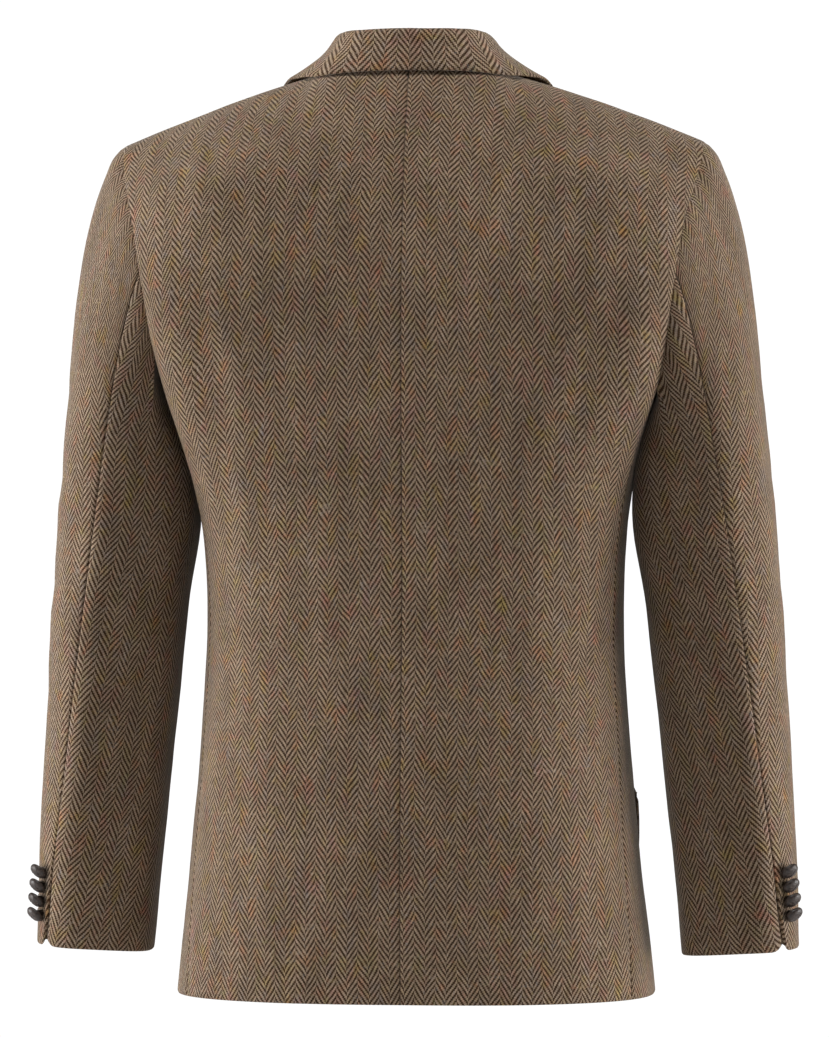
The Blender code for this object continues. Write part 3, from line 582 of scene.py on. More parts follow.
@lru_cache(maxsize=None)
def front_tree(side):
    """The front's surface as fine facets, to find where a point of the front view lies."""
    place = front_place(side)
    heights = np.concatenate([np.linspace(-345, ARMHOLE_BASE, 30), np.linspace(-221, 0, 68)])
    shares = np.linspace(0.05, 1.08, 90)
    points = [tuple(place(float(h), s)) for h in heights for s in shares]
    columns = len(shares)
    faces = [(i * columns + j, i * columns + j + 1, (i + 1) * columns + j + 1, (i + 1) * columns + j)
             for i in range(len(heights) - 1) for j in range(columns - 1)]
    return BVHTree.FromPolygons(points, faces)


def on_front(side, x, z, lift=0.0):
    """The point of the front at x and z, moved out by lift."""
    hit, out, _, _ = front_tree(side).ray_cast((x, -400, z), (0, 1, 0))
    out = np.array(out)
    if out[1] > 0:
        out = -out
    return np.array(hit) + lift * out


def front_edge(z, lift=0.0):
    """The point at height z on the edge of the left front above the break, moved out by lift."""
    place = front_place(1)
    heights = np.linspace(-320, 0, 65)
    edge = np.array([place(float(h), 1) for h in heights])
    height = float(np.interp(z, edge[:, 2], heights))
    return place(height, 1) + (lift * normal(place, height, 1) if lift else 0)


def roll_point(z):
    return np.array([roll_x(z), z])


def lapel_row(side, start, end, fold):
    """A row of the lapel from the fold at the roll line to its outer edge, each as x and z."""
    width = np.linalg.norm(end - start)
    way = (end - start) / width
    points = []
    for along, lift, more in LAPEL_FOLD:
        base = on_front(side, *(start + way * max(along, FOLD_START)), lift + more * fold)
        points.append(base + min(along - FOLD_START, 0) * np.array([way[0], 0, way[1]]))
    fold_end = LAPEL_FOLD[-1][0]
    for share in LAPEL_SHARES:
        along = fold_end + share * (width - fold_end)
        points.append(on_front(side, *(start + way * along), LAPEL_LIFT * fold))
    return points


def lapel_grid(side):
    low = BREAK_HEIGHT + LAPEL_START
    tip, gorge = np.array(LAPEL_TIP), np.array(GORGE)
    corner, belly = roll_point(low) + np.array(LAPEL_CORNER), np.array(LAPEL_BELLY)
    rows = []
    for t in LAPEL_STEPS:
        start = roll_point(low + t * (gorge[1] - low))
        end = (1 - t) ** 2 * corner + 2 * t * (1 - t) * belly + t * t * tip
        rows.append(lapel_row(side, start, end, FIRST_FOLD + (1 - FIRST_FOLD) * smooth(t, 0.0, 0.4)))
    return np.array(rows)


# ---------------------------------------------------------------- collar

def collar_seam(share):
    """Where the collar is sewn: along the back neckline, then down the front's edge."""
    if share <= COLLAR_SEAM_NECK:
        return back_place(0, share / COLLAR_SEAM_NECK * BACK_NECK_SHARE)
    end = GORGE[1] + GORGE_CLEAR - NECK_POINT[2]
    return front_edge(NECK_POINT[2] + (share - COLLAR_SEAM_NECK) / (1 - COLLAR_SEAM_NECK) * end)


def collar_grid():
    tip = on_front(1, *COLLAR_TIP, COLLAR_LIFT)
    end_roll = front_edge(GORGE[1] + GORGE_CLEAR, COLLAR_LIFT)
    end_leaf = on_front(1, NOTCH[0] + 0.3 * GORGE_CLEAR, NOTCH[1] + 0.45 * GORGE_CLEAR, COLLAR_LIFT)
    shares = [row[0] for row in COLLAR] + [LEAF_SHARE, 1.0]
    rolls = [row[1:4] for row in COLLAR] + [front_edge(*FRONT_ROLL), end_roll]
    edges = [row[4:7] for row in COLLAR] + [tip, end_leaf]
    rows = []
    for share in refine(COLLAR_SHARES, 5):
        seam = collar_seam(share)
        roll = spline(shares, rolls, share)
        edge = spline(shares[:-1], edges[:-1], share) if share <= LEAF_SHARE else (
            tip + (share - LEAF_SHARE) / (1 - LEAF_SHARE) * (end_leaf - tip))
        outward = unit(edge - roll)
        outward = unit(np.array([outward[0], outward[1], 0]))
        stand = roll - seam
        upright = smooth(np.linalg.norm(stand), 2, 24)
        start = seam - STAND_INSET * upright * outward + np.array([0, 0, SEAM_GAP])
        rise = np.array([0, 0, 1.0])
        fullness = 1 - 1.4 * smooth(share, 0.2, 0.55) * (1 - smooth(share, 0.72, 0.9))
        points = [  # inside of the stand, over the roll and down the leaf
            start,
            seam + 0.42 * stand - (1.2 + 2.6 * upright) * outward,
            roll - (1.6 + 2.6 * upright) * outward - 4.6 * upright * rise,
            roll - 2.0 * outward + 0.2 * rise,
            roll + 2.2 * outward + 0.1 * rise,
            roll + 5.0 * outward - 3.4 * upright * rise,
            roll + 0.36 * (edge - roll) + 2.6 * fullness * outward,
            roll + 0.68 * (edge - roll) + 2.0 * fullness * outward,
            edge,
        ]
        rows.append(points)
    return np.array(rows)


# ---------------------------------------------------------------- hip pockets

def pocket_grid(upper, lower, lift, corner=0.0):
    """A strip on the body between two depths under the slanted pocket line."""
    across = with_edges(np.linspace(0, 1, 41), (0.004, 0.01), (0.004, 0.01))
    down = with_edges(np.linspace(0, 1, 7 if corner == 0 else 21), (0.01, 0.03), (0.01, 0.03))
    rows = []
    for d in down[::-1]:
        row = []
        for a in across:
            depth = upper + d * (lower - upper)
            ends = corner * d ** 4 * abs(2 * a - 1) ** 8
            depth -= 0.5 * ends
            run = FLAP_FRONT + math.cos(FLAP_SLANT) * FLAP_LENGTH * a - math.sin(FLAP_SLANT) * depth
            run += math.copysign(ends, 0.5 - a) * 0.6
            z = FLAP_TOP - math.sin(FLAP_SLANT) * FLAP_LENGTH * a - math.cos(FLAP_SLANT) * depth
            row.append(lifted(z, section(round(z, 4))[2] - run, lift))
        rows.append(row[::-1])
    return np.array(rows)


def lifted(z, girth, lift):
    """A point of the body moved straight out by lift."""
    here = body_point(z, girth)
    around = body_point(z, girth + 1) - body_point(z, girth - 1)
    up = body_point(z + 1, girth) - body_point(z - 1, girth)
    return here + lift * unit(np.cross(up, around))


def cuff_seat(z):
    """Where a cuff button is sewn at height z, with the directions out and round the sleeve."""
    angle = read(SLEEVE, z)[4] + CUFF_BUTTON_TURN
    here = arm_point(z, angle)
    around = arm_point(z, angle + 1) - arm_point(z, angle - 1)
    along = arm_point(z + 1, angle) - arm_point(z - 1, angle)
    out = unit(np.cross(around, along))
    if out.dot(here - arm_point(z, angle + 180)) < 0:
        out = -out
    side_way = unit(around)
    if np.cross(side_way, out)[2] < 0:
        side_way = -side_way
    return here, out, side_way


# ---------------------------------------------------------------- finer grids

def smooth_rows(grid, count):
    """Each row of a grid read again at count places on the smooth curve through its points."""
    rows = []
    for row in grid:
        lengths = runs(row)
        rows.append([spline(lengths, row, w).ravel() for w in np.linspace(0, lengths[-1], count)])
    return np.array(rows)


def edge_distances(grid):
    """Each point's distance along the grid's own lines from its first and last rows and columns."""
    down = np.linalg.norm(np.diff(grid, axis=0), axis=2)
    across = np.linalg.norm(np.diff(grid, axis=1), axis=2)
    from_top = np.vstack([np.zeros(down.shape[1]), np.cumsum(down, axis=0)])
    from_left = np.hstack([np.zeros((across.shape[0], 1)), np.cumsum(across, axis=1)])
    return from_top, from_top[-1] - from_top, from_left, from_left[:, -1:] - from_left


def grain(grid, column, row, u_start=0.0, v_start=0.0):
    """Distances across and along the grain, counted from one column and one row of the grid."""
    from_top, _, from_left, _ = edge_distances(grid)
    across = from_left - from_left[:, [column]] + u_start
    along = from_top - from_top[row] + v_start
    return np.stack([across, along], axis=2)


# ---------------------------------------------------------------- creases

# Soft creases in the worn cloth. plane is the side they face; across is y on the sleeves and on
# the right flank, and x elsewhere; angle is the crease's lean from upright, towards +across.
# plane, across, z, angle, half length, half width, rise
CREASES = (
    ("back", 118, -470, 4, 230, 20, 1.6),
    ("back", 78, -520, 3, 210, 17, -1.0),
    ("back", -112, -520, -5, 190, 22, 1.3),
    ("back", -70, -430, -7, 150, 18, -0.9),
    ("back", -132, -395, 62, 46, 9, -1.1),
    ("back", -120, -418, 66, 42, 8, 0.9),
    ("back", 128, -404, -58, 40, 9, -0.9),
    ("back", 20, -560, 80, 60, 14, -0.7),
    ("back", -30, -250, 12, 110, 26, 0.8),
    ("back", 150, -225, 20, 70, 12, -1.3),
    ("back", 133, -240, 22, 70, 12, 1.1),
    ("back", -150, -228, -22, 66, 13, -1.2),
    ("back", -131, -236, -20, 70, 12, 1.0),
    ("back", 268, -560, -5, 210, 18, 6.0),
    ("back", 214, -520, -5, 230, 26, -5.5),
    ("back", -272, -560, 5, 210, 15, 6.5),
    ("back", -219, -520, 5, 230, 28, -6.5),
    ("back", 244, -330, -5, 110, 18, 1.8),
    ("back", -244, -330, 5, 110, 18, 1.8),
    ("armhole", 178, -248, 9, 108, 20, 7.0),
    ("armhole", -190, -240, -9, 108, 24, 9.0),
    ("right_flank", 5, -276, 0, 34, 60, 2.6),
    ("front", 92, -372, -60, 60, 9, -1.0),
    ("front", 96, -392, -56, 55, 9, 0.9),
    ("front", -88, -380, 62, 62, 10, -1.1),
    ("front", -94, -404, 58, 50, 9, 0.8),
    ("front", 120, -300, 14, 90, 16, 1.0),
    ("front", -122, -290, -12, 90, 15, 1.1),
    ("front", 60, -470, 8, 120, 18, 0.7),
    ("front", -66, -480, -6, 110, 18, 0.8),
    ("left", 22, -262, 66, 40, 10, -0.85),
    ("left", 20, -330, 72, 44, 12, -1.0),
    ("left", 18, -352, 74, 42, 10, 0.6),
    ("left", 22, -415, 64, 46, 12, -0.9),
    ("left", 20, -438, 66, 40, 10, 0.5),
    ("left", 4, -500, 74, 40, 13, -0.6),
    ("left", -26, -395, -60, 36, 10, -0.6),
    ("left", -8, -590, 10, 90, 16, 0.45),
    ("right", 24, -246, 64, 40, 10, -0.75),
    ("right", 18, -322, 70, 44, 11, -0.85),
    ("right", 20, -402, 72, 42, 12, -0.8),
    ("right", 22, -424, 70, 42, 10, 0.55),
    ("right", 2, -486, 66, 42, 13, -0.55),
    ("right", -24, -378, -62, 38, 11, -0.6),
    ("right", -6, -600, -8, 90, 17, 0.45),
)
FACINGS = {"back": (0, 1, 0), "armhole": (0, 1, 0), "front": (0, -1, 0), "left": (1, 0, 0),
           "right": (-1, 0, 0), "right_flank": (-1, 0, 0)}
SIDE_PLANES = ("left", "right", "right_flank")
ARM_SIDE = (218.0, 238.0)  # the sleeves' creases fade in between these distances from the centre
FLANK = 218.0              # the flank's crease lies within this distance
BEND, BEND_PITCH = 5.0, 60.0   # how far a crease wanders, and how quickly
SWELL = 1.1                # height of the broad uneven swell of the cloth
SWELL_PITCH = 95.0
RIPPLE = 0.35
RIPPLE_PITCH = 28.0


def unevenness(points, pitch, shift=(0, 0, 0)):
    """Smooth noise from -1 to 1 at each point of a grid."""
    return np.array([[noise.noise(Vector(p / pitch) + Vector(shift)) for p in row] for row in points])


def crease_rise(points, outward):
    """How far the cloth stands out at each point."""
    total = SWELL * unevenness(points, SWELL_PITCH, (7, 3, 1))
    total += RIPPLE * unevenness(points, RIPPLE_PITCH, (1, 9, 4))
    bend = BEND * unevenness(points, BEND_PITCH)
    for plane, across, z, angle, length, width, rise in CREASES:
        facing = np.clip(outward @ np.array(FACINGS[plane], float), 0, 1) ** 1.5
        if plane == "armhole":
            facing = np.clip(3 * outward[..., 1], 0, 1)
        if plane == "right_flank":
            facing *= np.clip((FLANK + points[..., 0]) / 8, 0, 1)
        if plane in ("left", "right"):
            facing *= np.clip((np.abs(points[..., 0]) - ARM_SIDE[0]) / (ARM_SIDE[1] - ARM_SIDE[0]), 0, 1)
        lean = math.radians(angle)
        side = points[..., 1 if plane in SIDE_PLANES else 0] - across
        up = points[..., 2] - z
        along = side * math.sin(lean) + up * math.cos(lean)
        off = side * math.cos(lean) - up * math.sin(lean) + bend
        total += rise * facing * np.exp(-(along / length) ** 2 - (off / width) ** 2)
    return total


# ---------------------------------------------------------------- shells

# how the cloth dips at an edge: depth and width of a broad trough, and of a narrow one in it
EDGES = {
    "seam": (0.6, 6.0, 1.1, 1.5),
    "tight": (0.4, 3.0, 0.9, 1.2),
    "free": (0.95, 2.3, 0.0, 1.0),
    "none": (0.0, 1.0, 0.0, 1.0),
}
ARMHOLE_OVERLAP = 0.9
OVERLAPPING = 0.15         # two sewn pieces run this far past the seam's middle
SEAM_FINE = (0.35, 0.75, 1.2, 2.0, 3.4)  # extra columns of points this far from a seam
RIM_GRAIN = 0.7            # the weave runs on round an edge by this share of the cloth's wall
SHARP = math.radians(62)


def edge_dip(distance, style):
    depth, width, inner_depth, inner_width = EDGES[style]
    return (depth * np.clip(1 - distance / width, 0, 1) ** 2
            + inner_depth * np.clip(1 - distance / inner_width, 0, 1) ** 1.5)


def add_fine_columns(*grids):
    """The grids with extra columns close to their first and last ones."""
    widths = [np.linalg.norm(grids[0][:, 1] - grids[0][:, 0], axis=1),
              np.linalg.norm(grids[0][:, -2] - grids[0][:, -1], axis=1)]
    fine = [[d / np.maximum(width, SEAM_FINE[-1] + 0.6) for d in SEAM_FINE] for width in widths]
    result = []
    for grid in grids:
        first = [grid[:, 0] + f[:, None] * (grid[:, 1] - grid[:, 0]) for f in fine[0]]
        last = [grid[:, -1] + f[:, None] * (grid[:, -2] - grid[:, -1]) for f in fine[1]]
        inner = list(grid.transpose(1, 0, 2)[1:-1])
        result.append(np.stack([grid[:, 0], *first, *inner, *last[::-1], grid[:, -1]], axis=1))
    return result


def mesh_object(name, vertices, faces, uvs=None):
    mesh = bpy.data.meshes.new(name)
    mesh.from_pydata([tuple(v) for v in np.asarray(vertices) * MM], [], faces)
    if uvs is not None:
        layer = mesh.uv_layers.new(name="grain")
        corners = np.empty(len(mesh.loops), np.int32)
        mesh.loops.foreach_get("vertex_index", corners)
        layer.data.foreach_set("uv", (np.asarray(uvs) * MM)[corners].astype(np.float32).ravel())
    mesh.shade_smooth()
    obj = bpy.data.objects.new(name, mesh)
    bpy.context.scene.collection.objects.link(obj)
    return obj


def wall(name, outer, inner, uv):
    """A closed thin shell between two grids of points, with its grain map."""
    rows, columns = outer.shape[:2]
    offset = rows * columns
    index = np.arange(offset).reshape(rows, columns)
    a, b = index[:-1, :-1].ravel(), index[:-1, 1:].ravel()
    c, d = index[1:, 1:].ravel(), index[1:, :-1].ravel()
    faces = np.concatenate([np.stack([a, b, c, d], 1), np.stack([a, d, c, b], 1) + offset]).tolist()
    rim = np.concatenate([index[0], index[1:, -1], index[-1, -2::-1], index[-2:0:-1, 0]]).tolist()
    for first, second in zip(rim, rim[1:] + rim[:1]):
        faces.append([first, first + offset, second + offset, second])
    vertices = np.vstack([outer.reshape(-1, 3), inner.reshape(-1, 3)])
    across = np.linalg.norm(inner - outer, axis=2).reshape(-1, 1)
    uvs = np.vstack([uv.reshape(-1, 2), uv.reshape(-1, 2) + RIM_GRAIN * across])
    obj = mesh_object(name, vertices, faces, uvs)
    model = bmesh.new()
    model.from_mesh(obj.data)
    if model.calc_volume(signed=True) < 0:
        bmesh.ops.reverse_faces(model, faces=model.faces)
    model.to_mesh(obj.data)
    model.free()
    obj.data.set_sharp_from_angle(angle=SHARP)
    return obj


def shell(name, grid, outward, edges, uv, thickness=CLOTH, rise=None):
    """A cloth shell on a grid: creased, dipped at its seams and rounded at its free edges."""
    outward = outward / np.linalg.norm(outward, axis=2, keepdims=True)
    lift = crease_rise(grid, outward) if rise is None else rise
    dip = sum(edge_dip(d, style) for d, style in zip(edge_distances(grid), edges))
    round_in = sum(edge_dip(d, style) for d, style in zip(edge_distances(grid), edges)
                   if style == "free")
    outer = grid + (lift - dip)[..., None] * outward
    inner = grid + (lift - thickness + round_in)[..., None] * outward
    return wall(name, outer, inner, uv)


def finite_outward(points):
    outward = np.cross(np.gradient(points, axis=0), np.gradient(points, axis=1))
    return outward / np.linalg.norm(outward, axis=2, keepdims=True)


def dress(obj, node, material, flat, area, held="hung", rests_on=()):
    """The shell stands for its solid and rides on the one body; what it was cut from is not used."""
    obj.data.materials.append(material)
    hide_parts(node)
    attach(obj, "root")
    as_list(rests_on)


BODY_ROWS = with_edges(refine(LOWER_HEIGHTS + YOKE_HEIGHTS, 4), first=(0.5, 1.1, 2.0, 4.0),
                       last=(0.5, 1.2, 2.4, 4.5))
SIDE_ROWS = with_edges(refine(LOWER_HEIGHTS + (ARMHOLE_BASE,), 4), first=(0.5, 1.1, 2.0, 4.0))
SEAM_STEPS = (0.0035, 0.007, 0.013, 0.024)
EDGE_STEPS = (0.0014, 0.003, 0.006, 0.011)


FLIP = np.array([-1, 1, 1])
FLIP_GRAIN = np.array([-1, 1])
SHIFT_GRAIN = np.array([11.3, 2.1])  # the right panels are cut from another place in the cloth
SIDES = (("left", 1), ("right", -1))


def place_grid(place, heights, shares):
    return np.array([[place(h, s) for s in shares] for h in heights])


def on_side(side, points, outward, uv):
    """A left grid as it is where side is 1, and mirrored with its own grain where it is -1."""
    if side > 0:
        return points, outward, uv
    return points * FLIP, outward * FLIP, uv * FLIP_GRAIN + SHIFT_GRAIN


def front_outward(grid):
    """The outward directions of a grid that lies on the front."""
    outward = finite_outward(grid)
    return -outward if outward[..., 1].sum() > 0 else outward


def panels(name, grid, edges, uv, material, cut):
    """The left shell from its grid, and the right one, mirrored before it is creased."""
    outward = finite_outward(grid)
    if name == "back":
        outward[:, 0, 0] = 0
        outward[:, 0] /= np.linalg.norm(outward[:, 0], axis=1, keepdims=True)
    if outward.sum(axis=(0, 1)) @ (grid.mean(axis=(0, 1)) - np.array([0, 0, grid[..., 2].mean()])) < 0:
        outward = -outward
    for word, side in SIDES:
        points, ways, laid = on_side(side, grid, outward, uv)
        obj = shell(f"{name}_{word}_cloth", points, ways, edges, laid)
        dress(obj, f"{name}_{word}", material, *cut)


# ---------------------------------------------------------------- body panels

YOKE_EASE = 0.16           # the picks lie closer near the neck, where the cloth is shrunk
YOKE_FROM = -95.0
DROOP = 0.155              # the picks droop towards the sides, by this share of the width
DROOP_FROM = (-570, -430)  # the droop comes in between these heights
STRAIGHT = 24.0            # and this far from centre back


def armhole_overlap(heights):
    """Above the armhole's base a panel runs on under the sleeve head."""
    return np.array([-ARMHOLE_OVERLAP if height > ARMHOLE_BASE else -OVERLAPPING for height in heights])


def build_back(tweed):
    shares = with_edges(np.concatenate([refine(np.linspace(0, BACK_NECK_SHARE, 5), 3),
                                        refine(np.linspace(BACK_NECK_SHARE, 1, 10), 3)[1:]]),
                        EDGE_STEPS, EDGE_STEPS)
    grid = draw_in(place_grid(back_place, BODY_ROWS, shares), (0, 0),
                   (-OVERLAPPING, armhole_overlap(BODY_ROWS)))
    uv = grain(grid, 0, 0, v_start=HEM)
    upper = np.array([smooth(height, *DROOP_FROM) for height in BODY_ROWS])[:, None]
    uv[..., 1] += YOKE_EASE * np.maximum(grid[..., 2] - YOKE_FROM, 0)
    uv[..., 1] += DROOP * upper * np.maximum(uv[..., 0] - STRAIGHT, 0)
    panels("back", grid, ("free", "tight", "seam", "seam"), uv, tweed, ((0.26, 0.75), 0.158))


SIDE_SHIFT = 2.5           # the side bodies' columns don't meet the back's


def build_sides(tweed):
    shares = with_edges(refine(UNDERARM_SHARES, 6), SEAM_STEPS, SEAM_STEPS)
    grid = draw_in(place_grid(side_place, SIDE_ROWS, shares), (0, -ARMHOLE_OVERLAP),
                   (-OVERLAPPING, -OVERLAPPING))
    uv = grain(grid, len(shares) // 2, 0, v_start=HEM, u_start=SIDE_SHIFT)
    panels("side", grid, ("free", "seam", "seam", "seam"), uv, tweed, ((0.14, 0.52), 0.062))


SLICE_REACH = 70.0         # the grain goes over to upright slices within this height
GRAIN_SPREAD = 1.12        # one slice takes at most this much girth for its width


def front_grain(grid, heights, shares):
    """Below the armhole the grain is plumb: girth from centre front, and height. Above it the
    grain goes on up through upright slices of the surface."""
    uv = np.zeros(grid.shape[:2] + (2,))
    for k, height in enumerate(heights):
        for j, share in enumerate(shares):
            level = min(front_level(height, share), ARMHOLE_BASE)
            start = front_seam_girth(level)
            line, lengths = front_run(round(float(level), 4))
            uv[k, j] = section(round(float(level), 4))[2] - start - share * lengths[-1], level
    base = int(np.searchsorted(heights, ARMHOLE_BASE))
    rise = np.linalg.norm(np.diff(grid[base:, :, 1:], axis=0), axis=2)
    uv[base + 1:, :, 1] = ARMHOLE_BASE + np.cumsum(rise, axis=0)
    line = grid[base, ::-1]
    girth = uv[base, ::-1, 0]
    slope = np.minimum(np.diff(girth) / np.maximum(np.diff(line[:, 0]), 1e-6), GRAIN_SPREAD)
    eased = girth[0] + np.concatenate([[0], np.cumsum(slope * np.diff(line[:, 0]))])
    x = grid[base + 1:, :, 0]
    by_x = np.interp(x, line[:, 0], eased) + np.maximum(x - line[-1, 0], 0)
    by_x += np.minimum(x - line[0, 0], 0)
    share_up = ease(np.clip((uv[base + 1:, :, 1] - ARMHOLE_BASE) / SLICE_REACH, 0, 1))
    uv[base + 1:, :, 0] += share_up * (by_x - uv[base + 1:, :, 0])
    uv[..., 0] *= -1
    return uv


def build_fronts(tweed):
    shares = with_edges(refine(np.linspace(0, 1, 10), 5), SEAM_STEPS, EDGE_STEPS)
    for name, side in SIDES:
        grid = draw_in(place_grid(front_place(side), BODY_ROWS, shares), (0, 0),
                       (armhole_overlap(BODY_ROWS), 0))
        uv = front_grain(grid, BODY_ROWS, shares)
        grid, outward, uv = on_side(side, grid, front_outward(grid), uv)
        obj = shell(f"front_{name}_cloth", grid, outward, ("free", "tight", "seam", "free"), uv)
        dress(obj, f"front_{name}", tweed, (0.30, 0.74), 0.150)


# ---------------------------------------------------------------- sleeves

VENT_EASE = 0.24           # the cloth's edges draw this share of the solids' gap back
TUCK_UNDER = 2.0           # the sleeve head runs on under the body's edge
UNDER_LEAN = 0.045         # the under sleeve is cut this much off the straight grain
CORNER_RISE = 5.5          # the cuff's corners beside the vent are rounded this high
CORNER_REACH, CORNER_HEIGHT = 9.0, 30.0
ROLL_RISE = 1.3            # the top sleeve's edge rolls out along the vent
ROLL_PLACE = (1.6, 1.3)    # how far from the edge it is highest, and how wide it is
HEAD_SWELL = 1.2           # of the sleeve head below the shoulder
HEAD_PLACE = (16.0, 9.0)   # how far below the armhole it is fullest, and how wide it is
HEAD_LOW, HEAD_REACH = -190.0, 90.0    # it comes in above this height, over this much


def head_fullness(from_cuff, points):
    """The sleeve head is eased in, so it swells a little just below the shoulder."""
    down = from_cuff[0][None, :] - from_cuff
    share = np.clip((points[..., 2] - HEAD_LOW) / HEAD_REACH, 0, 1)
    return HEAD_SWELL * share * np.exp(-((down - HEAD_PLACE[0]) / HEAD_PLACE[1]) ** 2)


def build_sleeves(tweed):
    grid, outward, count, front_corner = sleeve_grid()
    drop = grid[:, SLEEVE_SEAM_ROW, 2]
    open_share = np.array([1 - smooth(z, CUFF + 10, CUFF + VENT_HEIGHT) for z in drop])
    spread = VENT_EASE * VENT_SPREAD * open_share - OVERLAPPING
    top = list(range(SLEEVE_SEAM_ROW, front_corner + 1))
    under = list(range(front_corner, count)) + list(range(SLEEVE_SEAM_ROW + 1))
    # name, columns, gaps at the seams, the edge at the vent, lean of the grain, roll, cut
    for name, columns, gaps, vent, lean, roll, cut in (
            ("top_sleeve", top, (spread, -OVERLAPPING), 2, 0.0, ROLL_RISE, ((0.24, 0.66), 0.125)),
            ("under_sleeve", under, (-OVERLAPPING, spread), 3, UNDER_LEAN, 0.0, ((0.17, 0.56), 0.078))):
        part = draw_in(grid[:, columns], (-TUCK_UNDER, 0), gaps)
        part, ways = add_fine_columns(part, outward[:, columns])
        uv = grain(part[::-1], part.shape[1] // 2, 0)[::-1]
        uv[..., 0] += lean * uv[..., 1]
        from_vent, from_cuff = edge_distances(part)[vent], edge_distances(part)[1]
        near = np.clip(1 - from_vent / CORNER_REACH, 0, 1) ** 2.2
        part[..., 2] += CORNER_RISE * near * np.clip(1 - from_cuff / CORNER_HEIGHT, 0, 1)
        for word, side in SIDES:
            points, turned, laid = on_side(side, part, ways, uv)
            rise = crease_rise(points, turned) + head_fullness(from_cuff, points)
            rise += roll * open_share[:, None] * np.exp(-((from_vent - ROLL_PLACE[0]) / ROLL_PLACE[1]) ** 2)
            obj = shell(f"{name}_{word}_cloth", points, turned, ("tight", "free", "seam", "seam"), laid,
                        rise=rise)
            dress(obj, f"{name}_{word}", tweed, *cut)


# ---------------------------------------------------------------- lapels, collar and pockets

LAPEL_STEPS = refine((0, 0.1, 0.2, 0.32, 0.45, 0.58, 0.7, 0.81, 0.91, 1.0), 6)
LAPEL_COLUMNS, COLLAR_COLUMNS = 44, 46


def build_lapels(tweed):
    for name, side in SIDES:
        grid = smooth_rows(lapel_grid(side), LAPEL_COLUMNS)
        grid, outward, uv = on_side(side, grid, -finite_outward(grid), grain(grid, -1, 0))
        obj = shell(f"lapel_{name}_cloth", grid, outward, ("free", "free", "none", "free"), uv, FOLDED_CLOTH)
        dress(obj, f"lapel_{name}", tweed, (0.13, 0.29), 0.022, held="folded",
              rests_on=(f"front_{name}_cloth",))


STAND_TUCK = 1.6           # the collar's stand runs on inside the neckline
COLLAR_FOLLOW = 0.85       # how far the collar's grain keeps to the one on its roll line


def build_collar(tweed):
    half = smooth_rows(collar_grid(), COLLAR_COLUMNS)
    whole = np.vstack([half[:0:-1] * FLIP, half])
    whole = draw_in(whole, (0, 0), (-STAND_TUCK, 0))
    outward = finite_outward(whole)
    turned = whole.transpose(1, 0, 2)
    uv = grain(turned, half.shape[0] - 1, turned.shape[0] - 1).transpose(1, 0, 2)
    fold = int(np.argmax(whole[half.shape[0] - 1, :, 2]))
    uv[..., 0] = (1 - COLLAR_FOLLOW) * uv[..., 0] + COLLAR_FOLLOW * uv[:, fold:fold + 1, 0]
    obj = shell("collar_cloth", whole, outward, ("free", "free", "none", "free"), uv, FOLDED_CLOTH)
    dress(obj, "collar", tweed, (0.46, 0.085), 0.033, held="folded",
          rests_on=("back_left_cloth", "back_right_cloth"))


FLAP_SHIFT = (0.8, 1.7)    # the flaps' pattern meets the fronts' this closely
FLAP_SPRING = 1.4          # a flap's lower edge stands off the front by this


def girth_from_y(point):
    """Distance round from centre back to a point beside the front half of a section."""
    points, lengths, total = section(round(float(point[2]), 4))
    half = (lengths >= 0) & (lengths <= total)
    gaps = np.linalg.norm(points[half] - point, axis=1)
    return lengths[half][int(np.argmin(gaps))]


def build_pockets(tweed):
    # name, depths of its two edges, wall, rounding of its corners, spring, cut
    for name, upper, lower, cloth, corner, spring, cut in (
            ("pocket_flap", 0, FLAP_DEPTH, FOLDED_CLOTH, FLAP_CORNER, FLAP_SPRING, ((0.15, 0.055), 0.0079)),
            ("pocket_jet", -JET_DEPTH - JET_GAP, -JET_GAP, JET_CLOTH, 0.0, 0.0, ((0.15, 0.0100), 0.0011))):
        grid = pocket_grid(upper, lower, FLAP_LIFT + cloth, corner)
        girth = np.array([[section(round(float(p[2]), 4))[2] - girth_from_y(p) for p in row] for row in grid])
        uv = np.stack([girth, grid[..., 2]], axis=2) + FLAP_SHIFT
        stands_off = spring * (edge_distances(grid)[1] / FLAP_DEPTH) ** 2
        for word, side in SIDES:
            points, ways, laid = on_side(side, grid, front_outward(grid), uv)
            obj = shell(f"{name}_{word}_cloth", points, ways, ("free", "free", "free", "free"), laid,
                        cloth, crease_rise(points, ways) + stands_off)
            dress(obj, f"{name}_{word}", tweed, *cut, held="laid", rests_on=(f"front_{word}_cloth",))


# ---------------------------------------------------------------- buttons

RIB_PITCH = 0.36           # ribs across a plaited quarter, as a share of the radius
RIB_DEPTH = 0.55
GROOVE = 0.07              # the grooves between the quarters, as a share of the radius
DOME_SIDES, DOME_RINGS = 48, 26
SHANK_SIDES, SHANK_RINGS = 14, 25
SHANK_TURNS = 5            # of thread round a shank
FRONT_STEM, CUFF_STEM = 1.2, 0.2   # a shank is longer than its clearance by this


def circle(sides):
    return 2 * math.pi * np.arange(sides) / sides


def ring_faces(rings, sides, loop=False):
    """Faces between rings of points: a loop of rings, or a run of them with both ends closed."""
    faces = []
    for i in range(rings if loop else rings - 1):
        low, high = i * sides, (i + 1) % rings * sides
        for j in range(sides):
            after = (j + 1) % sides
            faces.append([low + j, low + after, high + after, high + j])
    if not loop:
        faces += [list(range(sides))[::-1], list(range((rings - 1) * sides, rings * sides))]
    return faces


